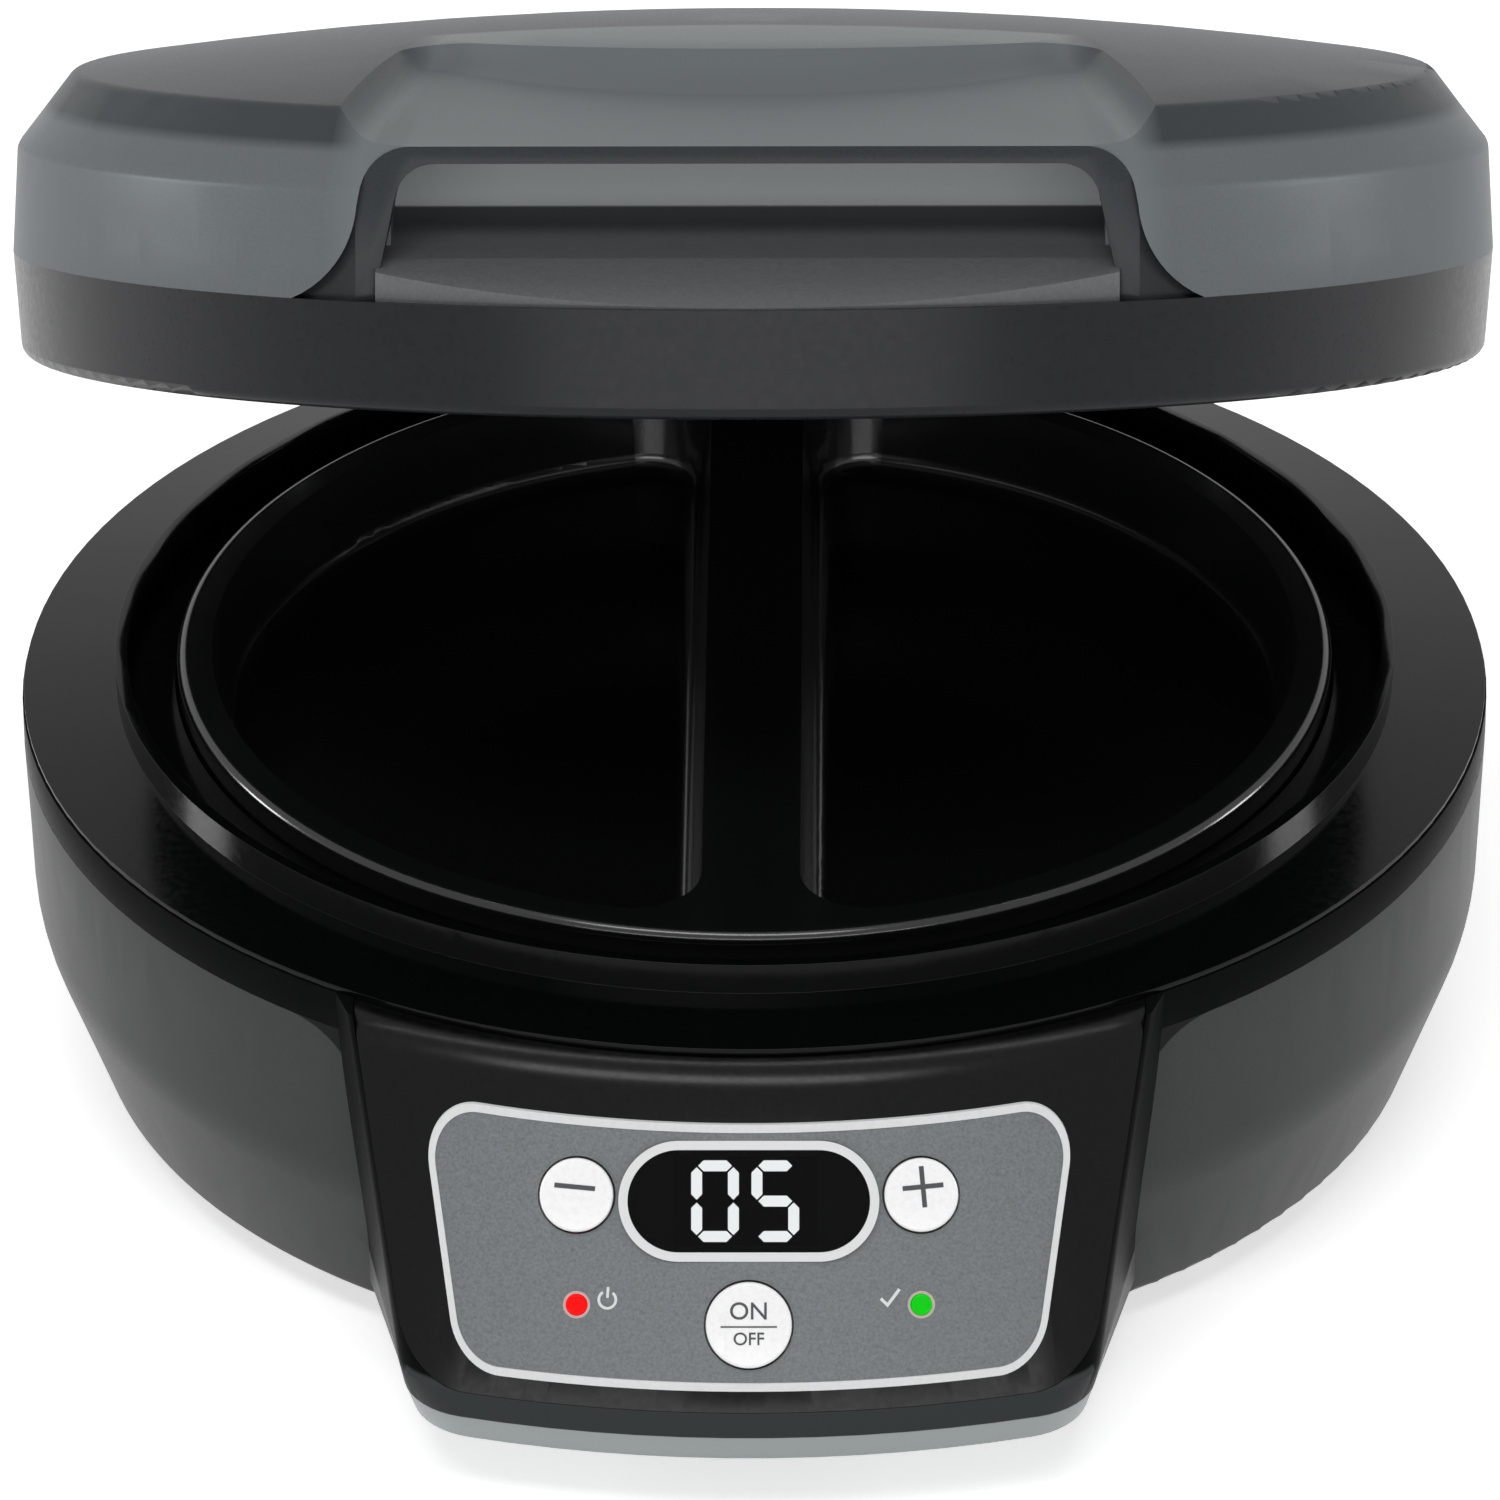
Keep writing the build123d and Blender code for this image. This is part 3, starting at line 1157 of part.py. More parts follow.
with BuildPart() as board_screws:
    with BuildSketch(on_panel(0, 0, BOARD_DEPTH + BOARD_THICK)):
        with GridLocations(2 * BOARD_SCREW_X, 2 * BOARD_SCREW_UP, 2, 2):
            Circle(SCREW_HEAD_R)
    extrude(amount=-SCREW_HEAD)
    with BuildSketch(on_panel(0, 0, BOARD_DEPTH + BOARD_THICK)):
        with GridLocations(2 * BOARD_SCREW_X, 2 * BOARD_SCREW_UP, 2, 2):
            Circle(SCREW_R)
    extrude(amount=SCREW_LENGTH)
board_screws.part.label = "board_screws"
export_step(board_screws.part, "parts/board_screws.step")


# Lid: outer and inner forms, turned about the lid's own axis
def lid_outline(shape):
    """The lid's full section, rim plane below and shallow dome on top."""
    with BuildLine() as edge:
        Polyline(
            (-PLATEAU_R, PLATEAU_HEIGHT),
            (-LID_SIDE_TOP_R, LID_SIDE_TOP),
            (-LID_R, LID_BAND_HEIGHT),
            (-BAND_BOTTOM_R, 0),
            (BAND_BOTTOM_R, 0),
            (LID_R, LID_BAND_HEIGHT),
            (LID_SIDE_TOP_R, LID_SIDE_TOP),
            (PLATEAU_R, PLATEAU_HEIGHT),
        )
        ThreePointArc(
            (PLATEAU_R, PLATEAU_HEIGHT),
            (0, PLATEAU_HEIGHT + DOME_RISE),
            (-PLATEAU_R, PLATEAU_HEIGHT),
        )
    make_face(edge.edges())


def right_half(shape):
    """Keep the part of a section that lies right of the axis."""
    with Locations((LID_R, 0)):
        Rectangle(2 * LID_R, 4 * LID_R, mode=Mode.INTERSECT)


with BuildPart() as lid_form:
    with BuildSketch(lid_section) as lid_half:
        lid_outline(lid_half)
        corner(lid_half, LID_ROUND, PLATEAU_R, PLATEAU_HEIGHT)
        corner(lid_half, LID_ROUND, LID_SIDE_TOP_R, LID_SIDE_TOP)
        corner(lid_half, BAND_ROUND, BAND_BOTTOM_R, 0)
        right_half(lid_half)
    revolve(axis=lid_axis)

with BuildPart() as lid_core:
    with BuildSketch(lid_section) as lid_hollow:
        lid_outline(lid_hollow)
        offset(amount=-WALL, kind=Kind.INTERSECTION, mode=Mode.REPLACE)
        Rectangle(2 * (BAND_BOTTOM_R - WALL), 2 * WALL + SEAM)
        right_half(lid_hollow)
    revolve(axis=lid_axis)


# Lid: scoop, the bowl in front of which the handle bar stands
shelf_run = Vector(0, SHELF_BACK - SHELF_FRONT, SHELF_FRONT_HEIGHT - SHELF_BACK_HEIGHT)
shelf_forward = lid_frame.from_local_coords(shelf_run) - lid_frame.origin
shelf_plane = Plane(
    origin=lid_frame.from_local_coords(Vector(0, -SHELF_BACK, SHELF_BACK_HEIGHT)),
    x_dir=(1, 0, 0),
    z_dir=Vector(1, 0, 0).cross(shelf_forward * -1),
)
SHELF_SPLAY = (SHELF_HALF_FRONT - SHELF_HALF_BACK) / (SHELF_FRONT - SHELF_BACK)
SCOOP_RUN = DECK_R - SHELF_BACK + SCOOP_HEIGHT
with BuildPart() as scoop:
    with BuildSketch(shelf_plane) as scoop_plan:
        back_half = SHELF_HALF_BACK - SHELF_SPLAY * SHELF_REAR_BOW
        front_half = SHELF_HALF_BACK + SHELF_SPLAY * SCOOP_RUN
        with BuildLine():
            ThreePointArc((-back_half, SHELF_REAR_BOW), (0, 0), (back_half, SHELF_REAR_BOW))
            Line((back_half, SHELF_REAR_BOW), (front_half, -SCOOP_RUN))
            Line((front_half, -SCOOP_RUN), (-front_half, -SCOOP_RUN))
            Line((-front_half, -SCOOP_RUN), (-back_half, SHELF_REAR_BOW))
        make_face()
        corner(scoop_plan, SHELF_REAR_CORNER_R, back_half, SHELF_REAR_BOW)
        corner(scoop_plan, SHELF_REAR_CORNER_R, -back_half, SHELF_REAR_BOW)
    extrude(amount=SCOOP_HEIGHT, taper=-SCOOP_DRAFT)
    shelf_edges = scoop.edges().filter_by(
        lambda edge: abs(shelf_plane.to_local_coords(edge.center()).Z) < SEAM
        and shelf_plane.to_local_coords(edge.center()).Y > -SCOOP_RUN + 1
    )
    fillet(shelf_edges, SCOOP_ROUND)

SKIN_GROWTH = WALL / cos(radians(SCOOP_DRAFT)) - WALL * tan(radians(SCOOP_DRAFT))
with BuildPart() as scoop_skin:
    with BuildSketch(shelf_plane.offset(-WALL)):
        add(scoop_plan.sketch_local)
        offset(amount=SKIN_GROWTH, mode=Mode.REPLACE)
    extrude(amount=SCOOP_HEIGHT + WALL, taper=-SCOOP_DRAFT)


# Lid: arch that frames the handle, and the opening it stands in
def arch_outline(shape):
    """The arch's outer outline, from flared feet up over the handle bar."""
    top = SHELF_FRONT_HEIGHT
    with BuildLine() as edge:
        for side in (1, -1):
            ThreePointArc(
                (side * ARCH_HALF_FOOT, ARCH_FOOT),
                (side * ARCH_HALF_KNEE, ARCH_KNEE),
                (side * ARCH_HALF_WAIST, ARCH_WAIST),
            )
            Line((side * ARCH_HALF_WAIST, ARCH_WAIST), (side * ARCH_HALF_TOP, top))
        Line((-ARCH_HALF_TOP, top), (ARCH_HALF_TOP, top))
        Line((-ARCH_HALF_FOOT, ARCH_FOOT), (ARCH_HALF_FOOT, ARCH_FOOT))
    make_face(edge.edges())
    corner(shape, ARCH_TOP_R, ARCH_HALF_TOP, top)
    corner(shape, ARCH_TOP_R, -ARCH_HALF_TOP, top)


def mouth_outline(shape):
    """The opening inside the arch, under the handle bar."""
    top = SHELF_FRONT_HEIGHT - BAR_THICK
    outline(
        (-POCKET_HALF_FOOT, ARCH_FOOT - 2 * POCKET_WALL),
        (POCKET_HALF_FOOT, ARCH_FOOT - 2 * POCKET_WALL),
        (POCKET_HALF_FOOT, ARCH_FOOT + POCKET_WALL),
        (POCKET_HALF_TOP, top),
        (-POCKET_HALF_TOP, top),
        (-POCKET_HALF_FOOT, ARCH_FOOT + POCKET_WALL),
    )
    corner(shape, POCKET_TOP_R, POCKET_HALF_TOP, top)
    corner(shape, POCKET_TOP_R, -POCKET_HALF_TOP, top)


with BuildPart() as arch_cut:
    with BuildSketch(lid_front(ARCH_BACK)) as arch_shape:
        arch_outline(arch_shape)
    extrude(amount=DECK_R - ARCH_BACK + WALL)
    # The shelf carries on over the pocket up to the back of the bar
    with BuildSketch(lid_front(ARCH_BACK)):
        with Locations((0, SHELF_FRONT_HEIGHT)):
            Rectangle(2 * POCKET_HALF_TOP, 2 * BAR_THICK)
    extrude(amount=ARCH_BAR_BACK - ARCH_BACK, mode=Mode.SUBTRACT)


# Lid: outer shell with the scoop, its screw posts and the opening for the arch
with BuildPart() as lid_cavity:
    add(lid_core.part)
    add(scoop_skin.part, mode=Mode.SUBTRACT)
    with BuildSketch(lid_level(LINER_LOW)):
        with PolarLocations(LID_POST_RING_R, 4, start_angle=45):
            Circle(POST_R)
    extrude(amount=PLATEAU_HEIGHT, mode=Mode.SUBTRACT)

with BuildPart() as lid_shell:
    add(lid_form.part)
    add(scoop.part, mode=Mode.SUBTRACT)
    add(lid_cavity.part, mode=Mode.SUBTRACT)
    add(arch_cut.part, mode=Mode.SUBTRACT)
    with BuildSketch(lid_level(LID_BAND_HEIGHT, down=True)):
        Circle(LID_R + WALL)
        Circle(BAND_BOTTOM_R - WALL, mode=Mode.SUBTRACT)
    extrude(amount=LID_BAND_HEIGHT, mode=Mode.SUBTRACT)
    with BuildSketch(lid_level(LINER_LOW + LINER_THICK, down=True)):
        Circle(LID_R)
    extrude(amount=LID_BAND_HEIGHT, mode=Mode.SUBTRACT)
    # Screw holes up the posts
    with BuildSketch(lid_level(0)):
        with PolarLocations(LID_POST_RING_R, 4, start_angle=45):
            Circle(SCREW_R)
    extrude(amount=2 * SCREW_LENGTH, mode=Mode.SUBTRACT)
lid_shell.part.label = "lid_shell"
export_step(lid_shell.part, "parts/lid_shell.step")


# Lid: dark band round the rim
with BuildPart() as lid_band:
    add(lid_form.part)
    add(lid_core.part, mode=Mode.SUBTRACT)
    with BuildSketch(lid_level(LID_BAND_HEIGHT)):
        Circle(2 * LID_R)
    extrude(amount=2 * PLATEAU_HEIGHT, mode=Mode.SUBTRACT)
    with BuildSketch(lid_front(-LID_R - WALL)):
        with Locations((-ARM_SCREW_X, ARM_SCREW_HEIGHT), (ARM_SCREW_X, ARM_SCREW_HEIGHT)):
            Circle(SCREW_R)
    extrude(amount=4 * WALL, mode=Mode.SUBTRACT)
lid_band.part.label = "lid_band"
export_step(lid_band.part, "parts/lid_band.step")


# Lid: arch piece with the handle bar across its top
with BuildPart() as handle_bezel:
    with BuildSketch(lid_front(ARCH_BACK)) as bezel_shape:
        arch_outline(bezel_shape)
    extrude(amount=SHELF_FRONT - ARCH_BACK)
    with BuildSketch(lid_front(ARCH_BACK)) as bezel_mouth:
        mouth_outline(bezel_mouth)
    extrude(amount=SHELF_FRONT - ARCH_BACK, mode=Mode.SUBTRACT)
    with BuildSketch(lid_front(ARCH_BACK)):
        with Locations((0, SHELF_FRONT_HEIGHT)):
            Rectangle(2 * POCKET_HALF_TOP, 2 * BAR_THICK)
    extrude(amount=ARCH_BAR_BACK - ARCH_BACK, mode=Mode.SUBTRACT)
    with BuildSketch(lid_level(LID_BAND_HEIGHT)):
        Circle(ARCH_R)
    extrude(amount=PLATEAU_HEIGHT, mode=Mode.INTERSECT)
    add(lid_shell.part, mode=Mode.SUBTRACT)
handle_bezel.part.label = "handle_bezel"
export_step(handle_bezel.part, "parts/handle_bezel.step")


# Lid: finger pocket behind the arch, a trough with a sloping floor
POCKET_SLOPE = (POCKET_BACK_FLOOR - POCKET_FRONT_FLOOR) / (POCKET_FRONT - POCKET_BACK)


def pocket_floor(forward):
    """Height of the pocket's floor at a forward distance from the lid axis."""
    return POCKET_BACK_FLOOR - POCKET_SLOPE * (forward - POCKET_BACK)


pocket_side = Plane(origin=lid_frame.origin, x_dir=lid_frame.y_dir * -1, z_dir=(-1, 0, 0))
POCKET_TOP = SHELF_FRONT_HEIGHT - WALL - POCKET_WALL
with BuildPart() as handle_pocket:
    with BuildSketch(pocket_side):
        outline(
            (POCKET_BACK - POCKET_WALL, pocket_floor(POCKET_BACK) - POCKET_WALL),
            (ARCH_BACK - SEAM, pocket_floor(ARCH_BACK) - POCKET_WALL),
            (ARCH_BACK - SEAM, POCKET_TOP),
            (POCKET_BACK - POCKET_WALL, POCKET_TOP),
        )
    extrude(amount=POCKET_HALF + POCKET_WALL, both=True)
    with BuildSketch(pocket_side):
        outline(
            (POCKET_BACK, pocket_floor(POCKET_BACK)),
            (ARCH_BACK + POCKET_WALL, pocket_floor(ARCH_BACK + POCKET_WALL)),
            (ARCH_BACK + POCKET_WALL, POCKET_TOP + POCKET_WALL),
            (POCKET_BACK, POCKET_TOP + POCKET_WALL),
        )
    extrude(amount=POCKET_HALF, both=True, mode=Mode.SUBTRACT)
    # Floor in front of the trough, with a sill that comes down to the band between the arch's legs
    with BuildSketch(pocket_side):
        outline(
            (ARCH_BACK - POCKET_WALL, pocket_floor(ARCH_BACK - POCKET_WALL) - POCKET_WALL),
            (SILL_BACK, pocket_floor(SILL_BACK) - POCKET_WALL),
            (SILL_BACK, LID_BAND_HEIGHT),
            (POCKET_FRONT, LID_BAND_HEIGHT),
            (POCKET_FRONT, pocket_floor(POCKET_FRONT)),
            (ARCH_BACK - POCKET_WALL, pocket_floor(ARCH_BACK - POCKET_WALL)),
        )
    extrude(amount=POCKET_HALF_FOOT, both=True)
    with BuildSketch(lid_level(LINER_LOW)):
        Circle(ARCH_R)
    extrude(amount=PLATEAU_HEIGHT, mode=Mode.INTERSECT)
    add(lid_band.part, mode=Mode.SUBTRACT)
    add(lid_shell.part, mode=Mode.SUBTRACT)
    add(handle_bezel.part, mode=Mode.SUBTRACT)
handle_pocket.part.label = "handle_pocket"
export_step(handle_pocket.part, "parts/handle_pocket.step")


# Lid: liner that closes the underside round the upper plate
LINER_R = BAND_BOTTOM_R - WALL - LINER_GAP
UPPER_BORE = PLATE_R + PLATE_GAP
UPPER_FACE = PLATE_TOP - LID_GAP + PLATE_GAP
UPPER_LEDGE = UPPER_FACE + UPPER_RIM_DEPTH
FLANGE_HEIGHT = UPPER_LEDGE + LEDGE_THICK
with BuildPart() as lid_liner:
    with BuildSketch(lid_section):
        outline(
            (LINER_R, LINER_LOW),
            (LINER_R, LINER_LOW + LINER_THICK),
            (LINER_STEP_R + LINER_THICK, LINER_LOW + LINER_THICK),
            (LINER_STEP_R, LINER_HIGH + LINER_THICK),
            (UPPER_BORE + SKIRT_WALL, LINER_HIGH + LINER_THICK),
            (UPPER_BORE + SKIRT_WALL, FLANGE_HEIGHT),
            (UPPER_BORE - LEDGE_WIDTH, FLANGE_HEIGHT),
            (UPPER_BORE - LEDGE_WIDTH, UPPER_LEDGE),
            (UPPER_BORE, UPPER_LEDGE),
            (UPPER_BORE, LINER_HIGH),
            (LINER_STEP_R - LINER_THICK, LINER_HIGH),
            (LINER_STEP_R, LINER_LOW),
        )
    revolve(axis=lid_axis)
    with BuildSketch(lid_level(LINER_HIGH + LINER_THICK)):
        with PolarLocations(FLANGE_SCREW_RING_R, 4):
            Circle(BOSS_R)
    extrude(amount=FLANGE_HEIGHT - LINER_HIGH - LINER_THICK)
    with BuildSketch(lid_level(FLANGE_HEIGHT, down=True)):
        with PolarLocations(FLANGE_SCREW_RING_R, 4):
            Circle(SCREW_R)
    extrude(amount=SCREW_LENGTH - REFLECTOR_THICK, mode=Mode.SUBTRACT)
    with BuildSketch(lid_level(0)):
        with PolarLocations(LID_POST_RING_R, 4, start_angle=45):
            Circle(SCREW_R)
    extrude(amount=LINER_HIGH, mode=Mode.SUBTRACT)
lid_liner.part.label = "lid_liner"
export_step(lid_liner.part, "parts/lid_liner.step")

with BuildPart() as lid_screws:
    with BuildSketch(lid_level(LINER_LOW, down=True)):
        with PolarLocations(LID_POST_RING_R, 4, start_angle=45):
            Circle(SCREW_HEAD_R)
    extrude(amount=SCREW_HEAD / 2)
    with BuildSketch(lid_level(LINER_LOW)):
        with PolarLocations(LID_POST_RING_R, 4, start_angle=45):
            Circle(SCREW_R)
    extrude(amount=SCREW_LENGTH)
lid_screws.part.label = "lid_screws"
export_step(lid_screws.part, "parts/lid_screws.step")


# Lid: upper cooking plate, the lower one's shape turned over and shallower
with BuildPart() as upper_cooking_plate:
    with BuildSketch(lid_level(UPPER_FACE)):
        Circle(PLATE_R)
    extrude(amount=PLATE_WALL)
    with BuildSketch(lid_level(UPPER_FACE)):
        Circle(PLATE_R)
        Circle(PLATE_R - PLATE_WALL, mode=Mode.SUBTRACT)
    extrude(amount=UPPER_RIM_DEPTH)
    fillet(upper_cooking_plate.edges().group_by(lid_axis)[0], PLATE_RIM_ROUND)
    with BuildSketch(lid_level(UPPER_FACE + PLATE_WALL)) as upper_tubs:
        wells(upper_tubs, WELL_R + PLATE_WALL, DIVIDER_WIDTH - 2 * PLATE_WALL, WELL_CORNER_R + PLATE_WALL)
    extrude(amount=UPPER_WELL_DEPTH, taper=WELL_DRAFT)
    with BuildSketch(lid_level(UPPER_FACE)) as upper_hollows:
        wells(upper_hollows)
    extrude(amount=UPPER_WELL_DEPTH, taper=WELL_DRAFT, mode=Mode.SUBTRACT)
    roof_faces = upper_cooking_plate.faces().filter_by(
        lambda face: abs(lid_frame.to_local_coords(face.center()).Z - UPPER_FACE - UPPER_WELL_DEPTH) < SEAM
    )
    fillet(roof_faces.edges(), WELL_FLOOR_ROUND)
upper_cooking_plate.part.label = "upper_cooking_plate"
export_step(upper_cooking_plate.part, "parts/upper_cooking_plate.step")


# Lid: heating element behind the upper plate, its clips and its reflector
UPPER_BACK = UPPER_FACE + UPPER_WELL_DEPTH + PLATE_WALL


def lid_radial(angle):
    """A direction away from the lid axis, parallel to the rim plane."""
    return lid_frame.x_dir * cos(radians(angle)) + lid_frame.y_dir * sin(radians(angle))


with BuildPart() as upper_heating_element:
    across = lid_radial(ELEMENT_START)
    with BuildSketch(Plane(origin=lid_frame.origin, x_dir=across, z_dir=across.cross(lid_frame.z_dir))):
        with Locations((ELEMENT_RING_R, UPPER_BACK + ELEMENT_R)):
            Circle(ELEMENT_R)
    revolve(axis=lid_axis, revolution_arc=ELEMENT_SWEEP)
upper_heating_element.part.label = "upper_heating_element"
export_step(upper_heating_element.part, "parts/upper_heating_element.step")

with BuildPart() as upper_element_clips:
    with BuildSketch(lid_level(UPPER_BACK)):
        for angle in CLIP_ANGLES:
            with Locations(Location(radial(angle) * ELEMENT_RING_R, (0, 0, angle))):
                Rectangle(CLIP_WIDTH, CLIP_DEPTH)
    extrude(amount=2 * ELEMENT_R + CLIP_WALL)
    with BuildSketch(lid_section):
        with Locations((ELEMENT_RING_R, UPPER_BACK + ELEMENT_R)):
            Circle(ELEMENT_R)
        with Locations((ELEMENT_RING_R, UPPER_BACK)):
            Rectangle(2 * ELEMENT_R, 2 * ELEMENT_R)
    revolve(axis=lid_axis, mode=Mode.SUBTRACT)
upper_element_clips.part.label = "upper_element_clips"
export_step(upper_element_clips.part, "parts/upper_element_clips.step")

UPPER_DISH = UPPER_BACK + 2 * ELEMENT_R + CLIP_WALL + POST_CLEAR
with BuildPart() as upper_reflector:
    with BuildSketch(lid_section):
        outline(
            (0, UPPER_DISH),
            (UPPER_DISH_R, UPPER_DISH),
            (UPPER_WALL_R, UPPER_WALL_TOP),
            (UPPER_WALL_R, FLANGE_HEIGHT),
            (REFLECTOR_FLANGE_R, FLANGE_HEIGHT),
            (REFLECTOR_FLANGE_R, FLANGE_HEIGHT + REFLECTOR_THICK),
            (UPPER_WALL_R + REFLECTOR_THICK, FLANGE_HEIGHT + REFLECTOR_THICK),
            (UPPER_WALL_R + REFLECTOR_THICK, UPPER_WALL_TOP + REFLECTOR_THICK),
            (UPPER_DISH_R + REFLECTOR_THICK, UPPER_DISH + REFLECTOR_THICK),
            (0, UPPER_DISH + REFLECTOR_THICK),
        )
    revolve(axis=lid_axis)
    with BuildSketch(lid_level(0)):
        with PolarLocations(FLANGE_SCREW_RING_R, 4):
            Circle(SCREW_R)
    extrude(amount=PLATEAU_HEIGHT, mode=Mode.SUBTRACT)
upper_reflector.part.label = "upper_reflector"
export_step(upper_reflector.part, "parts/upper_reflector.step")

with BuildPart() as upper_reflector_screws:
    with BuildSketch(lid_level(FLANGE_HEIGHT + REFLECTOR_THICK)):
        with PolarLocations(FLANGE_SCREW_RING_R, 4):
            Circle(SCREW_HEAD_R)
    extrude(amount=SCREW_HEAD)
    with BuildSketch(lid_level(FLANGE_HEIGHT + REFLECTOR_THICK, down=True)):
        with PolarLocations(FLANGE_SCREW_RING_R, 4):
            Circle(SCREW_R)
    extrude(amount=SCREW_LENGTH)
upper_reflector_screws.part.label = "upper_reflector_screws"
export_step(upper_reflector_screws.part, "parts/upper_reflector_screws.step")

with BuildPart() as upper_thermostat:
    with BuildSketch(lid_level(UPPER_BACK)):
        with Locations((THERMOSTAT_REACH, 0)):
            Circle(THERMOSTAT_R)
    extrude(amount=THERMOSTAT_HEIGHT)
upper_thermostat.part.label = "upper_thermostat"
export_step(upper_thermostat.part, "parts/upper_thermostat.step")


# Hinge: bracket with two lugs on the base, pin, washers and clips
hinge_side = Plane(origin=(0, HINGE_Y, HINGE_Z), x_dir=(0, 1, 0), z_dir=(1, 0, 0))
LUG_IN = ARM_HALF + HINGE_SIDE_GAP + WASHER_THICK
LUG_OUT = LUG_IN + LUG_WIDTH
with BuildPart() as hinge_bracket:
    with BuildSketch(base_side):
        outline(
            (BRACKET_IN, BRACKET_LOW),
            (BRACKET_OUT, BRACKET_LOW),
            (BRACKET_OUT, BRACKET_TOP),
            (BRACKET_IN, BRACKET_TOP),
        )
    extrude(amount=LUG_OUT, both=True)
    for side in (-1, 1):
        with BuildSketch(hinge_side.offset(side * (LUG_IN + LUG_WIDTH / 2))):
            Circle(LUG_R)
            outline(
                (BRACKET_IN - HINGE_REACH, BRACKET_LOW - HINGE_Z),
                (0, -LUG_R),
                (0, LUG_R),
                (-LUG_R, BRACKET_TOP - HINGE_Z),
                (BRACKET_IN - HINGE_REACH, BRACKET_TOP - HINGE_Z),
            )
        extrude(amount=LUG_WIDTH / 2, both=True)
    add(round_form.part, mode=Mode.SUBTRACT)
    with BuildSketch(hinge_side):
        Circle(PIN_R)
    extrude(amount=2 * LUG_OUT, both=True, mode=Mode.SUBTRACT)
    bracket_place = (0, AXIS_Y + BRACKET_IN, BRACKET_SCREW_HEIGHT)
    with BuildSketch(Plane(origin=bracket_place, x_dir=(1, 0, 0), z_dir=(0, 1, 0))):
        with Locations((-BRACKET_SCREW_X, 0), (BRACKET_SCREW_X, 0)):
            Circle(SCREW_R)
    extrude(amount=BRACKET_OUT - BRACKET_IN - WALL, mode=Mode.SUBTRACT)
hinge_bracket.part.label = "hinge_bracket"
export_step(hinge_bracket.part, "parts/hinge_bracket.step")

BRACKET_SCREW_SEAT = sqrt((BAND_R - WALL - SEAM) ** 2 - (BRACKET_SCREW_X + SCREW_HEAD_R) ** 2)
with BuildPart() as bracket_screws:
    with BuildSketch(
        Plane(
            origin=(0, AXIS_Y + BRACKET_SCREW_SEAT - SCREW_HEAD, BRACKET_SCREW_HEIGHT),
            x_dir=(1, 0, 0),
            z_dir=(0, 1, 0),
        )
    ):
        with Locations((-BRACKET_SCREW_X, 0), (BRACKET_SCREW_X, 0)):
            Circle(SCREW_HEAD_R)
    extrude(amount=SCREW_HEAD)
    with BuildSketch(
        Plane(
            origin=(0, AXIS_Y + BRACKET_SCREW_SEAT, BRACKET_SCREW_HEIGHT),
            x_dir=(1, 0, 0),
            z_dir=(0, 1, 0),
        )
    ):
        with Locations((-BRACKET_SCREW_X, 0), (BRACKET_SCREW_X, 0)):
            Circle(SCREW_R)
    extrude(amount=BRACKET_OUT - BRACKET_SCREW_SEAT - 2 * WALL)
bracket_screws.part.label = "bracket_screws"
export_step(bracket_screws.part, "parts/bracket_screws.step")

with BuildPart() as hinge_pin:
    with BuildSketch(hinge_side):
        Circle(PIN_R)
    extrude(amount=LUG_OUT + CLIP_THICK + PIN_END, both=True)
hinge_pin.part.label = "hinge_pin"
export_step(hinge_pin.part, "parts/hinge_pin.step")

with BuildPart() as pin_clips:
    for side in (-1, 1):
        with BuildSketch(hinge_side.offset(side * (LUG_OUT + CLIP_THICK / 2))):
            Circle(CLIP_R)
            Circle(PIN_R, mode=Mode.SUBTRACT)
        extrude(amount=CLIP_THICK / 2, both=True)
pin_clips.part.label = "pin_clips"
export_step(pin_clips.part, "parts/pin_clips.step")

with BuildPart() as friction_washers:
    for side in (-1, 1):
        with BuildSketch(hinge_side.offset(side * (LUG_IN - WASHER_THICK / 2))):
            Circle(WASHER_R)
            Circle(PIN_R, mode=Mode.SUBTRACT)
        extrude(amount=WASHER_THICK / 2, both=True)
friction_washers.part.label = "friction_washers"
export_step(friction_washers.part, "parts/friction_washers.step")


# Hinge: arm on the lid, a barrel on the pin and a strap screwed to the band
with BuildPart() as hinge_arm:
    with BuildSketch(lid_side):
        outline(
            (ARM_IN, -HINGE_LOW),
            (ARM_OUT, -HINGE_LOW),
            (ARM_OUT, ARM_HEIGHT),
            (LID_R - 2 * WALL, ARM_HEIGHT),
            (LID_R - 2 * WALL, LINER_LOW),
            (ARM_IN, LINER_LOW),
        )
        outline(
            (ARM_IN, -HINGE_LOW),
            (HINGE_REACH, -HINGE_LOW),
            (HINGE_REACH, -HINGE_LOW + BARREL_R),
            (ARM_OUT, -HINGE_LOW + 2 * BARREL_R),
            (ARM_IN, -HINGE_LOW + 2 * BARREL_R),
        )
        with Locations((HINGE_REACH, -HINGE_LOW)):
            Circle(BARREL_R)
    extrude(amount=ARM_HALF, both=True)
    add(lid_form.part, mode=Mode.SUBTRACT)
    with BuildSketch(lid_side):
        with Locations((HINGE_REACH, -HINGE_LOW)):
            Circle(PIN_R + PIN_CLEAR)
    extrude(amount=2 * ARM_HALF, both=True, mode=Mode.SUBTRACT)
    with BuildSketch(lid_front(-LID_R - WALL)):
        with Locations((-ARM_SCREW_X, ARM_SCREW_HEIGHT), (ARM_SCREW_X, ARM_SCREW_HEIGHT)):
            Circle(SCREW_R)
    extrude(amount=4 * WALL, mode=Mode.SUBTRACT)
hinge_arm.part.label = "hinge_arm"
export_step(hinge_arm.part, "parts/hinge_arm.step")

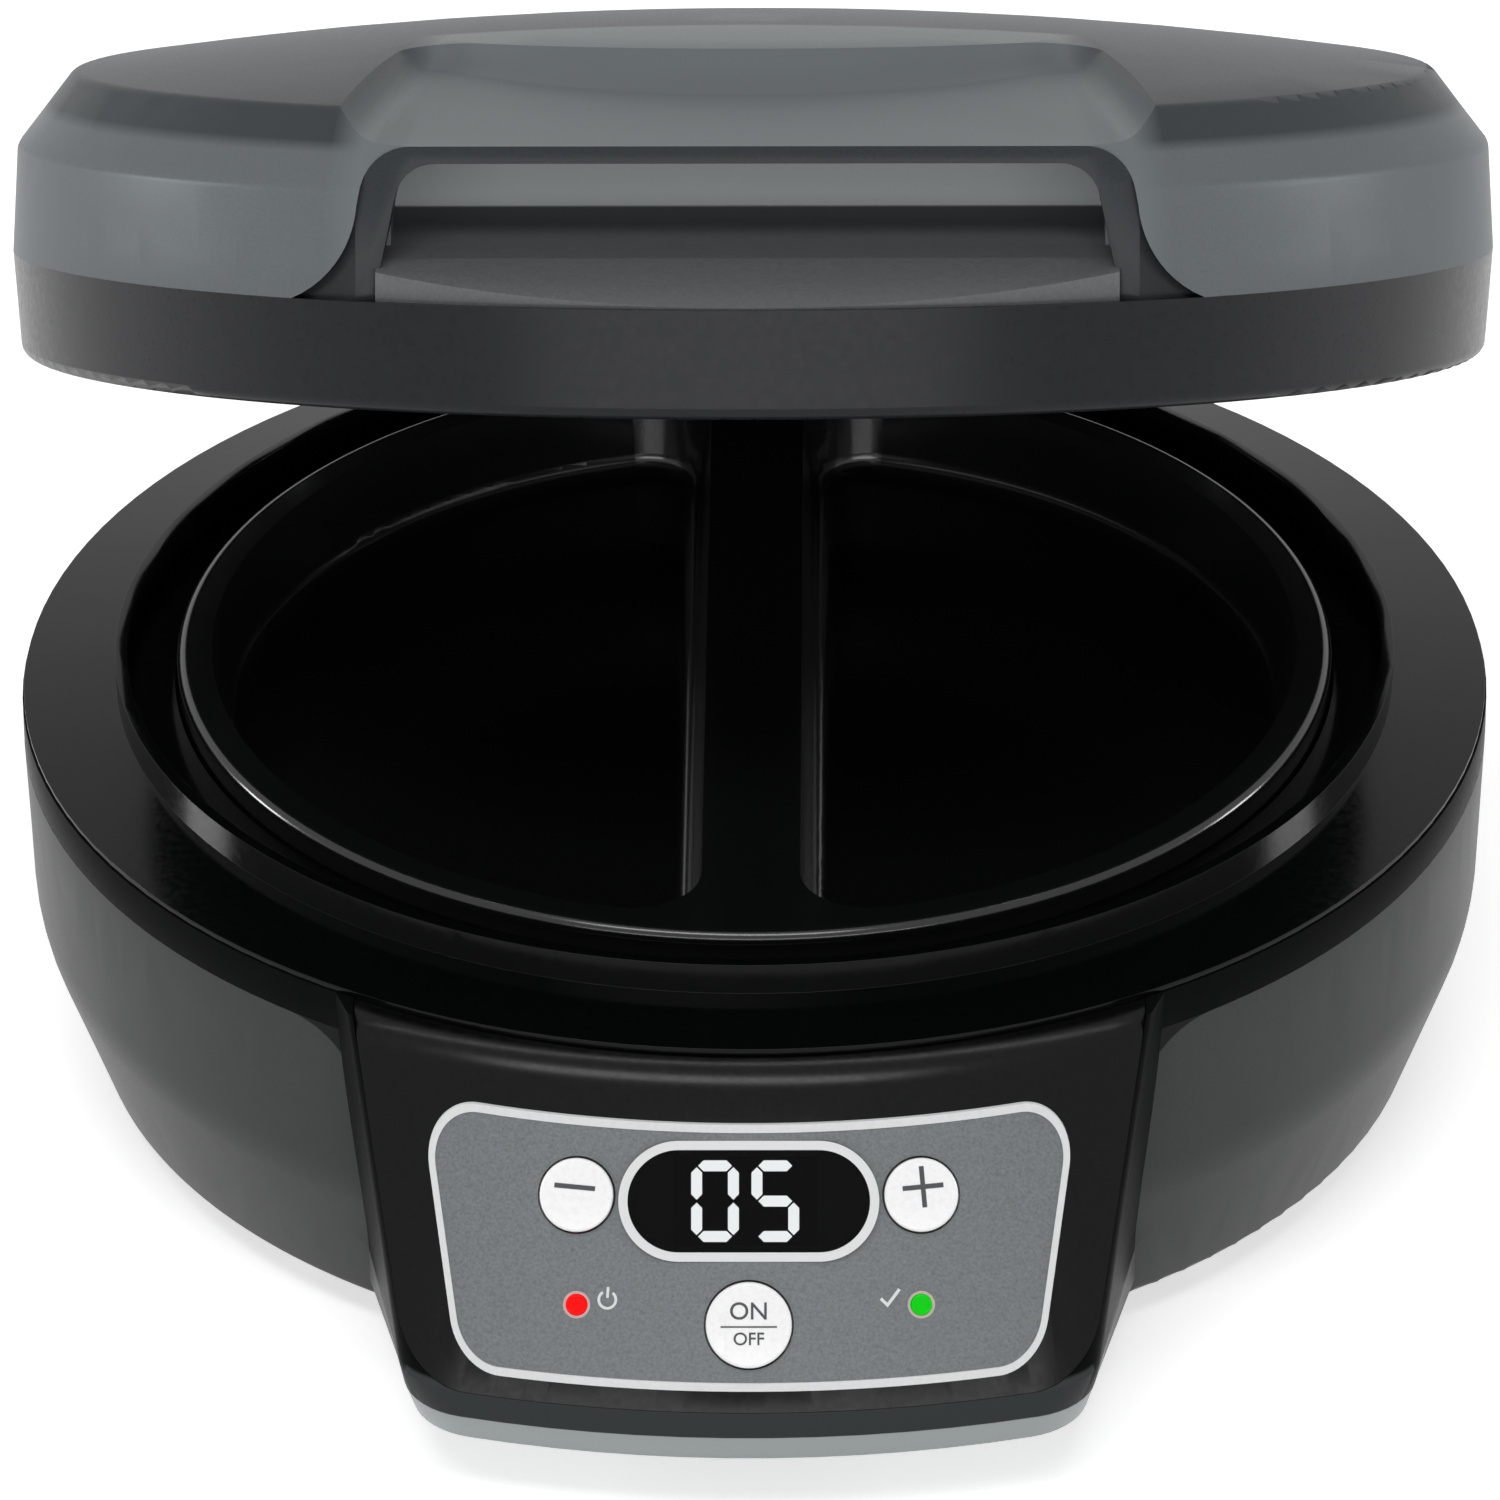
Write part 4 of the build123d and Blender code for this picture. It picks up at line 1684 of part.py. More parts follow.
ARM_SCREW_SEAT = sqrt((BAND_BOTTOM_R - WALL) ** 2 - (ARM_SCREW_X + SCREW_HEAD_R) ** 2)
with BuildPart() as hinge_arm_screws:
    with BuildSketch(lid_front(-ARM_SCREW_SEAT)):
        with Locations((-ARM_SCREW_X, ARM_SCREW_HEIGHT), (ARM_SCREW_X, ARM_SCREW_HEIGHT)):
            Circle(SCREW_HEAD_R)
    extrude(amount=SCREW_HEAD)
    with BuildSketch(lid_front(-ARM_SCREW_SEAT)):
        with Locations((-ARM_SCREW_X, ARM_SCREW_HEIGHT), (ARM_SCREW_X, ARM_SCREW_HEIGHT)):
            Circle(SCREW_R)
    extrude(amount=-(LID_R + WALL - ARM_SCREW_SEAT))
hinge_arm_screws.part.label = "hinge_arm_screws"
export_step(hinge_arm_screws.part, "parts/hinge_arm_screws.step")
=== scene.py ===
"""Scene of a round omelette maker: its camera, soft studio light, finishes and small surface pieces."""

import math

import bpy
from mathutils import Matrix, Vector


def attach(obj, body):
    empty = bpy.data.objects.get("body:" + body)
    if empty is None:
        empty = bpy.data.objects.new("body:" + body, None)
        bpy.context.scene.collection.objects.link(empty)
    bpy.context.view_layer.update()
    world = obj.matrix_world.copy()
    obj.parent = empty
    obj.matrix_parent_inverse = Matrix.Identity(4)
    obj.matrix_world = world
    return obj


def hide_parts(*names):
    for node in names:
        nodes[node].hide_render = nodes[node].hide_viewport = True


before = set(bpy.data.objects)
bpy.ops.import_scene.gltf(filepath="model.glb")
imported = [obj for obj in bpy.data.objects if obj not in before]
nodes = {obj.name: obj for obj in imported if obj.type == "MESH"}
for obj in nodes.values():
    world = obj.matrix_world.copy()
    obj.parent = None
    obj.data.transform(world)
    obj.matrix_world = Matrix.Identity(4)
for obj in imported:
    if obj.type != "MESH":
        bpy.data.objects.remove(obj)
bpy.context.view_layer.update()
scene = bpy.context.scene
MM = 0.001

# Places on the base, in millimetres
AXIS_Y = 6.44
DECK_Z = 79.0
PLATE_R = 106.6
PLATE_TOP = 6.3
PLATE_RIM_ROUND = 1.9
PLATE_ROLL_PROUD = 0.04

# The control panel, which leans back on a cone about an upright axis behind the base's own
TILT = math.radians(32.0)
CONE_BACK = 22.0
PANEL_MID_DROP = 29.65
PANEL_MID_REACH = 155.48
PANEL_ORIGIN = Vector((0, AXIS_Y - PANEL_MID_REACH, DECK_Z - PANEL_MID_DROP)) * MM
PANEL_OUT = Vector((0, -math.cos(TILT), math.sin(TILT)))
PANEL_UP = Vector((0, math.sin(TILT), math.cos(TILT)))
PANEL_ACROSS = Vector((1, 0, 0))
CAP_PROUD = 2.0
LABEL_THICK = 0.35
BEZEL_FACE = tuple((PANEL_ORIGIN + PANEL_OUT * LABEL_THICK * MM) / MM)

# The lid's own directions, part open as at rest
LID_OPEN = math.radians(22.56)
LID_ORIGIN = Vector((0, 21.10, 137.92))
LID_REAR = (0, math.cos(LID_OPEN), -math.sin(LID_OPEN))
LID_RISE = (0, math.sin(LID_OPEN), math.cos(LID_OPEN))
LID_TOP_HEIGHT = 45
LID_TOP = tuple(LID_ORIGIN + Vector(LID_RISE) * LID_TOP_HEIGHT)
POCKET_WALL_REACH = 85.6
POCKET_WALL_FRONT = tuple(LID_ORIGIN - Vector(LID_REAR) * POCKET_WALL_REACH)

# The photograph's view, fitted to the object's outlines
VIEW_DISTANCE = 1985.0
VIEW_ELEVATION = math.radians(30.13)
VIEW_ROLL = math.radians(-0.34)
VIEW_TURN = math.radians(0.6)
VIEW_LENS = 256.2
VIEW_TARGET_X = -0.9
VIEW_TARGET_DROP = 18.05
VIEW_TARGET = Vector((VIEW_TARGET_X, AXIS_Y, DECK_Z - VIEW_TARGET_DROP)) * MM
SENSOR = 36.0
CLIP_NEAR = 0.05
CLIP_FAR = 50.0

# How the fine grain of a finish spreads over its tone and gloss
GRAIN_DETAIL = 3.0
GRAIN_ROUGHNESS = 0.6
GRAIN_USUAL_LOW = 0.3
GRAIN_USUAL_HIGH = 0.7
LEAST_ROUGH = 0.02
CORNER_SOFT = 0.1


def linear(hex_colour):
    """A written sRGB colour as the linear colour that a shader takes."""
    parts = [int(hex_colour[i : i + 2], 16) / 255 for i in (1, 3, 5)]
    return [p / 12.92 if p <= 0.04045 else ((p + 0.055) / 1.055) ** 2.4 for p in parts] + [1.0]


def node(tree, kind, settings=(), links=()):
    """Add a shader node, set its properties and sockets, and link what feeds it."""
    made = tree.nodes.new(kind)
    for key, value in dict(settings).items():
        if isinstance(key, str) and hasattr(made, key):
            setattr(made, key, value)
        else:
            made.inputs[key].default_value = value
    for key, source in dict(links).items():
        tree.links.new(source, made.inputs[key])
    return made


def beyond(tree, place, point, direction, soft=0.3):
    """1 on the far side of a plane through a point, in millimetres, and 0 on the near side."""
    offset = node(
        tree,
        "ShaderNodeVectorMath",
        {"operation": "SUBTRACT", 1: Vector(point) * MM},
        {0: place},
    )
    depth = node(
        tree,
        "ShaderNodeVectorMath",
        {"operation": "DOT_PRODUCT", 1: direction},
        {0: offset.outputs[0]},
    )
    edge = node(
        tree,
        "ShaderNodeMapRange",
        {1: -soft * MM, 2: soft * MM},
        {0: depth.outputs["Value"]},
    )
    return edge.outputs[0]


def both(tree, one, other):
    """The product of two masks."""
    return node(tree, "ShaderNodeMath", {"operation": "MULTIPLY"}, {0: one, 1: other}).outputs[0]


def outside_corner(tree, place, middle, radius):
    """1 outside an upright rounded corner that is mirrored to both sides, and 0 inside it."""
    flat = node(
        tree,
        "ShaderNodeVectorMath",
        {"operation": "MULTIPLY", 1: (1, 0, 1)},
        {0: place},
    )
    folded = node(tree, "ShaderNodeVectorMath", {"operation": "ABSOLUTE"}, {0: flat.outputs[0]})
    reach = node(
        tree,
        "ShaderNodeVectorMath",
        {"operation": "DISTANCE", 1: Vector(middle) * MM},
        {0: folded.outputs[0]},
    )
    past = node(
        tree,
        "ShaderNodeMapRange",
        {1: (radius - CORNER_SOFT) * MM, 2: (radius + CORNER_SOFT) * MM},
        {0: reach.outputs["Value"]},
    )
    inward = beyond(tree, folded.outputs[0], middle, (-1, 0, 0))
    above = beyond(tree, place, middle, (0, 0, 1))
    return both(tree, both(tree, past.outputs[0], inward), above)


def surface(
    name,
    light,
    dark,
    metallic,
    rough,
    grain,
    bump=0.0,
    spread=0.04,
    ior=1.5,
    alpha=1.0,
    glow=None,
    patches=(),
):
    """A moulded, painted or plated surface whose fine grain varies its tone, gloss and relief.

    Grain and bump are in millimetres. A patch is a second colour beyond all of its planes, each a point,
    a direction and perhaps a softness, and outside its corner, a middle and a radius, if it has one.
    """
    made = bpy.data.materials.new(name)
    made.use_nodes = True
    tree = made.node_tree
    tree.nodes.clear()
    place = node(tree, "ShaderNodeTexCoord")
    fine = node(
        tree,
        "ShaderNodeTexNoise",
        {"Scale": 1 / (grain * MM), "Detail": GRAIN_DETAIL, "Roughness": GRAIN_ROUGHNESS},
        {"Vector": place.outputs["Object"]},
    )
    tone = node(
        tree,
        "ShaderNodeMix",
        {"data_type": "RGBA", 6: linear(dark), 7: linear(light)},
    )
    tree.links.new(fine.outputs["Fac"], tone.inputs[0])
    colour = tone.outputs[2]
    for patch_colour, planes, corner in patches:
        mask = beyond(tree, place.outputs["Object"], *planes[0])
        for plane in planes[1:]:
            mask = both(tree, mask, beyond(tree, place.outputs["Object"], *plane))
        if corner:
            mask = both(tree, mask, outside_corner(tree, place.outputs["Object"], *corner))
        patched = node(tree, "ShaderNodeMix", {"data_type": "RGBA", 7: linear(patch_colour)})
        tree.links.new(mask, patched.inputs[0])
        tree.links.new(colour, patched.inputs[6])
        colour = patched.outputs[2]
    gloss = node(
        tree,
        "ShaderNodeMapRange",
        {1: GRAIN_USUAL_LOW, 2: GRAIN_USUAL_HIGH, 3: max(rough - spread, LEAST_ROUGH), 4: rough + spread},
        {0: fine.outputs["Fac"]},
    )
    shader = node(
        tree,
        "ShaderNodeBsdfPrincipled",
        {"Metallic": metallic, "IOR": ior, "Alpha": alpha},
        {"Base Color": colour, "Roughness": gloss.outputs[0]},
    )
    if bump:
        relief = node(
            tree,
            "ShaderNodeBump",
            {"Strength": 1.0, "Distance": bump * MM},
            {"Height": fine.outputs["Fac"]},
        )
        tree.links.new(relief.outputs[0], shader.inputs["Normal"])
    if glow:
        glow_colour, glow_strength = glow
        shader.inputs["Emission Color"].default_value = linear(glow_colour)
        shader.inputs["Emission Strength"].default_value = glow_strength
    node(tree, "ShaderNodeOutputMaterial", (), {"Surface": shader.outputs[0]})
    return made


# Places and directions that the patches use, for second colours and for painted light and shade, in
# millimetres
LIP_TOP = (0, 0, 20.1)
FRONT = (0, -1, 0)
DOWN = (0, 0, -1)

# What each finish is made of, and what that gives the eye
FINISHES = {
    # Sprayed metallic paint on pressed metal: mid grey with a soft sheen and a very fine fleck, with
    # painted light paling the console's lower lip from below, and black above the rounded corners beside
    # the console
    "metallic_paint_casing": dict(
        light="#434444",
        dark="#343535",
        metallic=0.25,
        rough=0.4,
        grain=0.45,
        bump=0.004,
        ior=1.18,
        patches=(
            # Painted light: the console's lower lip, facing the floor, paled as if lit from below
            (
                "#969c9c",
                (
                    (LIP_TOP, DOWN),
                    ((0, -128, 0), FRONT),
                ),
                None,
            ),
            (
                "#161717",
                (
                    ((0, -60, 0), FRONT),
                ),
                ((82, 0, 58.4), 12),
            ),
        ),
    ),
    # The same paint on the lid: a soft sheen, with painted shade darkening the flat top and painted light
    # paling the handle's scoop
    "metallic_paint_lid": dict(
        light="#6b6f72",
        dark="#5a5f61",
        metallic=0.1,
        rough=0.38,
        grain=0.45,
        bump=0.004,
        ior=1.1,
        patches=(
            # Painted shade: the flat top darkened to tone down its reflection of the white room
            (
                "#3e4244",
                (
                    (LID_TOP, LID_RISE, 1.0),
                ),
                None,
            ),
            # Painted light: the handle's scoop paled as if it caught more light
            (
                "#6c7173",
                (
                    ((0, 27, 0), FRONT, 1.2),
                    ((-63.5, -20, 0), (0.99, -0.137, 0), 3),
                    ((63.5, -20, 0), (-0.99, -0.137, 0), 3),
                ),
                None,
            ),
        ),
    ),
    # Moulded satin black ABS of the rim band: dark, with a broad soft highlight, greyer under the console
    "satin_abs_trim": dict(
        light="#0f1010",
        dark="#0a0b0b",
        metallic=0.0,
        rough=0.34,
        grain=0.8,
        bump=0.002,
        ior=1.06,
        patches=(
            (
                "#3a3d3d",
                (
                    ((0, 0, 27.5), DOWN),
                    ((0, -150, 0), FRONT),
                ),
                None,
            ),
        ),
    ),
    # Moulded and polished black ABS of the deck and the lid's liner: near black, with sharp reflections
    "gloss_abs_deck": dict(
        light="#070808",
        dark="#040505",
        metallic=0.0,
        rough=0.15,
        grain=1.5,
        ior=1.23,
    ),
    # Moulded and polished black ABS of the console: near black, with slightly softer reflections
    "gloss_abs_fascia": dict(
        light="#070808",
        dark="#040404",
        metallic=0.0,
        rough=0.22,
        grain=1.2,
        ior=1.25,
    ),
    # Moulded and polished dark grey ABS of the lid's band: a smooth, even sheen
    "gloss_abs_band": dict(
        light="#232426",
        dark="#1c1d1f",
        metallic=0.0,
        rough=0.3,
        grain=1.5,
        ior=1.24,
    ),
    # Moulded dark grey ABS of the handle's arch: a satin sheen along its bends
    "satin_abs_arch": dict(
        light="#373a3c",
        dark="#2d3032",
        metallic=0.1,
        rough=0.3,
        grain=0.6,
        bump=0.002,
        ior=1.2,
    ),
    # Spark-eroded black ABS of the finger pocket: fine sandy texture, with painted light paling the rear
    # wall
    "textured_abs_pocket": dict(
        light="#626365",
        dark="#47484a",
        metallic=0.0,
        rough=0.5,
        grain=0.8,
        bump=0.03,
        patches=(
            # Painted light: the pocket's rear wall paled as if well lit, where it lies in shade under the
            # arch
            (
                "#b4b9ba",
                (
                    (POCKET_WALL_FRONT, LID_REAR),
                ),
                None,
            ),
        ),
    ),
    # Sprayed non-stick coating on cast aluminium: black, slightly speckled, satin
    "nonstick_coating": dict(
        light="#121313",
        dark="#090a0a",
        metallic=0.0,
        rough=0.17,
        grain=0.5,
        bump=0.006,
    ),
    # Metallic grey screen print: glitters with fine flakes, drawn coarse enough to show
    "metallic_print_label": dict(
        light="#7e8385",
        dark="#404445",
        metallic=0.2,
        rough=0.45,
        grain=0.5,
        spread=0.12,
    ),
    # Silver-white screen ink of the panel's outline and signs: pale and matt
    "silver_ink": dict(
        light="#dfe1e1",
        dark="#cdd0d0",
        metallic=0.0,
        rough=0.4,
        grain=1.0,
    ),
    # Moulded black ABS bezel: matt black, with a thin printed bright ring on its raised edge
    "ringed_abs_bezel": dict(
        light="#060606",
        dark="#040404",
        metallic=0.0,
        rough=0.3,
        grain=1.0,
        ior=1.3,
        patches=(
            (
                "#dfe1e1",
                (
                    (BEZEL_FACE, tuple(PANEL_OUT), 0.1),
                ),
                None,
            ),
        ),
    ),
    # Cast smoked acrylic lens: black where it is dark behind, clear enough for the lit digits
    "smoked_acrylic": dict(
        light="#030303",
        dark="#020202",
        metallic=0.0,
        rough=0.08,
        grain=3.0,
        ior=1.2,
        alpha=0.6,
    ),
    # Moulded diffusing segments with lamps behind: plain bright white
    "lit_segment": dict(
        light="#ffffff",
        dark="#f0f4f4",
        metallic=0.0,
        rough=0.4,
        grain=1.0,
        glow=("#f4f8f8", 5.5),
    ),
    # The same segments unlit: almost as black as the module around them
    "unlit_segment": dict(
        light="#060606",
        dark="#040404",
        metallic=0.0,
        rough=0.6,
        grain=1.0,
        ior=1.2,
    ),
    # Moulded black face of the display module: matt, with nothing to see on it
    "matt_black_module": dict(
        light="#050505",
        dark="#030303",
        metallic=0.0,
        rough=0.7,
        grain=0.8,
        ior=1.2,
    ),
    # Moulded white ABS of the keys: clean white with a low gloss
    "white_abs_keys": dict(
        light="#fafafa",
        dark="#efeff0",
        metallic=0.0,
        rough=0.28,
        grain=1.2,
        bump=0.002,
    ),
    # Dark grey pad print on the keys: matt and even
    "dark_key_print": dict(
        light="#3a3d40",
        dark="#2e3134",
        metallic=0.0,
        rough=0.5,
        grain=0.8,
    ),
    # Moulded red acrylic lamp, lit from behind: a glowing spot with a clean gloss
    "red_acrylic": dict(
        light="#d80c0a",
        dark="#b00806",
        metallic=0.0,
        rough=0.2,
        grain=1.0,
        ior=1.2,
        glow=("#ff0604", 0.75),
    ),
    # Moulded green acrylic lamp, lit from behind: a glowing spot with a clean gloss
    "green_acrylic": dict(
        light="#0a8a12",
        dark="#066a0c",
        metallic=0.0,
        rough=0.2,
        grain=1.0,
        ior=1.2,
        glow=("#04d80a", 0.6),
    ),
    # Moulded pale plastic of the lamps' rings and LEDs: off-white, tinted a little by their light
    "pale_lamp_ring": dict(
        light="#c9b3b0",
        dark="#a89a98",
        metallic=0.0,
        rough=0.35,
        grain=1.0,
    ),
    # Moulded black rubber of the feet and the cord gland: dull black with a faint skin
    "black_rubber": dict(
        light="#1b1b1c",
        dark="#131314",
        metallic=0.0,
        rough=0.7,
        grain=0.8,
        bump=0.01,
    ),
    # Moulded black polypropylene of covers and hinge parts: dark, with a fine matt grain
    "black_polypropylene": dict(
        light="#1d1e1f",
        dark="#151617",
        metallic=0.0,
        rough=0.5,
        grain=0.6,
        bump=0.01,
    ),
    # Zinc-plated steel: bright and slightly cloudy
    "zinc_plated_steel": dict(
        light="#b7b9bb",
        dark="#9b9ea1",
        metallic=1.0,
        rough=0.3,
        grain=0.5,
        bump=0.002,
    ),
    # Rolled aluminised steel sheet of the reflectors and heat parts: a soft silver with a faint grain
    "aluminised_sheet": dict(
        light="#bcbec0",
        dark="#a4a7aa",
        metallic=1.0,
        rough=0.38,
        grain=0.9,
        bump=0.004,
    ),
    # Drawn steel sheath of the elements, browned by heat: dull warm grey
    "oxidised_sheath": dict(
        light="#5a544c",
        dark="#3f3a35",
        metallic=0.9,
        rough=0.45,
        grain=0.7,
        bump=0.004,
    ),
    # Woven glass board under green resist: an even green with a faint mottle
    "green_circuit_board": dict(
        light="#1c5a33",
        dark="#134425",
        metallic=0.0,
        rough=0.4,
        grain=0.9,
        bump=0.004,
    ),
    # Pressed vulcanised fibre of the washers: matt tan
    "vulcanised_fibre": dict(
        light="#8b7a5c",
        dark="#74654a",
        metallic=0.0,
        rough=0.7,
        grain=0.4,
        bump=0.006,
    ),
}
made_of = {name: surface(name, **look) for name, look in FINISHES.items()}

# Which nodes wear which finish
WEARS = {
    "metallic_paint_casing": ("outer_shell",),
    "metallic_paint_lid": ("lid_shell",),
    "satin_abs_trim": ("rim_trim",),
    "gloss_abs_deck": ("top_deck", "lid_liner"),
    "gloss_abs_fascia": ("console_fascia",),
    "gloss_abs_band": ("lid_band",),
    "satin_abs_arch": ("handle_bezel",),
    "textured_abs_pocket": ("handle_pocket",),
    "nonstick_coating": ("lower_cooking_plate", "upper_cooking_plate"),
    "metallic_print_label": ("label_panel",),
    "silver_ink": ("panel_outline",),
    "ringed_abs_bezel": ("display_bezel",),
    "smoked_acrylic": ("display_window",),
    "lit_segment": ("lit_segments",),
    "unlit_segment": ("unlit_segments",),
    "matt_black_module": ("display_module",),
    "white_abs_keys": ("minus_button", "plus_button", "start_button"),
    "red_acrylic": ("power_lamp",),
    "green_acrylic": ("ready_lamp",),
    "pale_lamp_ring": ("lamp_rings", "lamp_leds"),
    "black_rubber": ("feet", "cord_gland"),
    "black_polypropylene": (
        "bottom_cover",
        "hinge_bracket",
        "hinge_arm",
        "tact_switches",
        "minus_plunger",
        "plus_plunger",
        "start_plunger",
    ),
    "zinc_plated_steel": (
        "board_screws",
        "reflector_screws",
        "power_board_screws",
        "base_screws",
        "bracket_screws",
        "hinge_pin",
        "pin_clips",
        "upper_reflector_screws",
        "lid_screws",
        "hinge_arm_screws",
    ),
    "aluminised_sheet": (
        "lower_element_clips",
        "lower_reflector",
        "lower_thermostat",
        "thermal_fuse",
        "upper_element_clips",
        "upper_reflector",
        "upper_thermostat",
    ),
    "oxidised_sheath": ("lower_heating_element", "upper_heating_element"),
    "green_circuit_board": ("control_board", "power_board"),
    "vulcanised_fibre": ("friction_washers",),
}
for finish, wearers in WEARS.items():
    for wearer in wearers:
        nodes[wearer].data.materials.clear()
        nodes[wearer].data.materials.append(made_of[finish])


# Moulded edges: how the copies of the CAD nodes are merged, rounded and shaded
DOUBLES_APART = 0.005
FLAT_ENOUGH = math.radians(0.6)
EDGE_SHARPER_THAN = math.radians(28.0)
SMOOTH_BELOW = math.radians(36.0)
EDGE_SEGMENTS = 3


def soften(name, body, width):
    """A copy of a CAD node with its doubles merged, its sharp edges rounded and its faces smooth."""
    moulding = nodes[name].copy()
    moulding.data = nodes[name].data.copy()
    moulding.name = name + "_moulding"
    scene.collection.objects.link(moulding)
    moulding.parent = None
    bpy.ops.object.select_all(action="DESELECT")
    moulding.select_set(True)
    bpy.context.view_layer.objects.active = moulding
    bpy.ops.object.mode_set(mode="EDIT")
    bpy.ops.mesh.select_all(action="SELECT")
    bpy.ops.mesh.remove_doubles(threshold=DOUBLES_APART * MM)
    bpy.ops.mesh.dissolve_degenerate(threshold=DOUBLES_APART * MM)
    bpy.ops.mesh.dissolve_limited(angle_limit=FLAT_ENOUGH)
    bpy.ops.mesh.select_all(action="SELECT")
    bpy.ops.mesh.normals_make_consistent(inside=False)
    bpy.ops.object.mode_set(mode="OBJECT")
    edge = moulding.modifiers.new("edge_round", "BEVEL")
    edge.width = width * MM
    edge.segments = EDGE_SEGMENTS
    edge.limit_method = "ANGLE"
    edge.angle_limit = EDGE_SHARPER_THAN
    bpy.ops.object.modifier_apply(modifier=edge.name)
    bpy.ops.object.shade_smooth_by_angle(angle=SMOOTH_BELOW)
    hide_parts(name)
    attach(moulding, body)


# Node, the body that it rides on, and the width of its rounded edges in millimetres
SOFT_EDGES = (
    ("lid_shell", "lid", 0.8),
    ("handle_bezel", "lid", 0.5),
    ("handle_pocket", "lid", 0.3),
    ("top_deck", "base", 0.45),
    ("console_fascia", "base", 0.15),
    ("rim_trim", "base", 0.25),
    ("outer_shell", "base", 0.3),
    ("minus_button", "minus_button", 0.5),
    ("plus_button", "plus_button", 0.5),
    ("start_button", "start_button", 0.5),
)
for node_name, body_name, edge_width in SOFT_EDGES:
    soften(node_name, body_name, edge_width)

# Rolled outer edge of the lower plate, a clean ring just proud of the CAD node's faceted round
ROLL_STEPS = 240
ROLL_ROUND_STEPS = 24
bpy.ops.object.select_all(action="DESELECT")
bpy.ops.mesh.primitive_torus_add(
    major_segments=ROLL_STEPS,
    minor_segments=ROLL_ROUND_STEPS,
    major_radius=(PLATE_R - PLATE_RIM_ROUND) * MM,
    minor_radius=(PLATE_RIM_ROUND + PLATE_ROLL_PROUD) * MM,
    location=(0, AXIS_Y * MM, (DECK_Z + PLATE_TOP - PLATE_RIM_ROUND) * MM),
)
plate_roll = bpy.context.object
plate_roll.name = "lower_plate_rolled_edge"
bpy.ops.object.transform_apply(location=True, rotation=True, scale=True)
bpy.ops.object.shade_smooth()
plate_roll.data.materials.append(made_of["nonstick_coating"])
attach(plate_roll, "base")

# Small printed marks: a minus, a plus, ON and OFF about a thin line, a power sign and a tick
KEY_X = 30.0
KEY_UP = 10.7
START_UP = -11.9
SIGN_X = 24.6
LAMP_UP = -8.4
MARK_HALF = 3.6
MARK_STROKE = 0.42
KEY_PRINT_LOW = CAP_PROUD - 0.1
KEY_PRINT_THICK = 0.16
START_LINE_DROP = 0.3
START_LINE_HALF = 4.9
START_LINE_STROKE = 0.13
START_LINE_LOW = CAP_PROUD - 0.12
START_LINE_THICK = 0.2
SIGN_LOW = LABEL_THICK - 0.05
SIGN_THICK = 0.12
POWER_R = 1.5
POWER_STROKE = 0.24
POWER_START = 125
POWER_END = 415
POWER_STEPS = 20
POWER_BAR_LOW = 0.3
POWER_BAR_HIGH = 2.2
TICK = ((-1.9, 0.1), (-1.5, 0.5), (-0.6, -0.5), (1.5, 1.9), (1.9, 1.5), (-0.6, -1.3))
ON_HEIGHT = 3.0
ON_RISE = 2.3
OFF_HEIGHT = 2.2
OFF_DROP = 2.5
FONT_OVER_CAPITAL = 1.42
WORD_HALF_THICK = 0.09
WORD_SWELL = 0.02
WORD_LOW = CAP_PROUD - 0.02


def panel_place(up, out):
    """A place on the panel's middle line, turned so that X runs across, Y up and Z out of the panel."""
    middle = PANEL_ORIGIN + PANEL_UP * up * MM + PANEL_OUT * out * MM
    turn = Matrix((PANEL_ACROSS, PANEL_UP, PANEL_OUT)).transposed().to_4x4()
    return Matrix.Translation(middle) @ turn


def swing(x, up):
    """The turn about the fascia's upright cone axis that carries the middle line out to x."""
    cone_r = PANEL_MID_REACH + CONE_BACK - up * math.sin(TILT)
    pivot = Matrix.Translation(Vector((0, AXIS_Y + CONE_BACK, 0)) * MM)
    return pivot @ Matrix.Rotation(math.asin(x / cone_r), 4, "Z") @ pivot.inverted()


def box(left, low, right, high):
    """The corners of a rectangle."""
    return ((left, low), (right, low), (right, high), (left, high))


def arc():
    """The power sign's open ring, as one closed outline."""
    span = POWER_END - POWER_START
    turns = [math.radians(POWER_START + span * i / POWER_STEPS) for i in range(POWER_STEPS + 1)]
    outer = POWER_R + POWER_STROKE
    inner = POWER_R - POWER_STROKE
    outward = [(math.cos(t) * outer, math.sin(t) * outer) for t in turns]
    return outward + [(math.cos(t) * inner, math.sin(t) * inner) for t in reversed(turns)]


def print_mark(name, outlines, x, up, low, thick, finish, body):
    """Discs whose corners are pulled to flat outlines, then extruded into one raised print."""
    bpy.ops.object.select_all(action="DESELECT")
    bpy.ops.object.add(type="MESH", enter_editmode=True)
    mark = bpy.context.object
    mark.name = name
    for corners in outlines:
        bpy.ops.mesh.primitive_circle_add(vertices=len(corners), radius=MARK_HALF * MM, fill_type="NGON")
    bpy.ops.object.mode_set(mode="OBJECT")
    places = [corner for corners in outlines for corner in corners]
    for vertex, (across, rise) in zip(mark.data.vertices, places):
        vertex.co = Vector((across, rise, 0)) * MM
    bpy.ops.object.mode_set(mode="EDIT")
    bpy.ops.mesh.select_all(action="SELECT")
    bpy.ops.mesh.extrude_region_move(TRANSFORM_OT_translate={"value": (0, 0, thick * MM)})
    bpy.ops.mesh.select_all(action="SELECT")
    bpy.ops.mesh.normals_make_consistent(inside=False)
    bpy.ops.object.mode_set(mode="OBJECT")
    mark.matrix_world = swing(x, up) @ panel_place(up, low)
    bpy.ops.object.transform_apply(location=True, rotation=True, scale=True)
    mark.data.materials.append(made_of[finish])
    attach(mark, body)


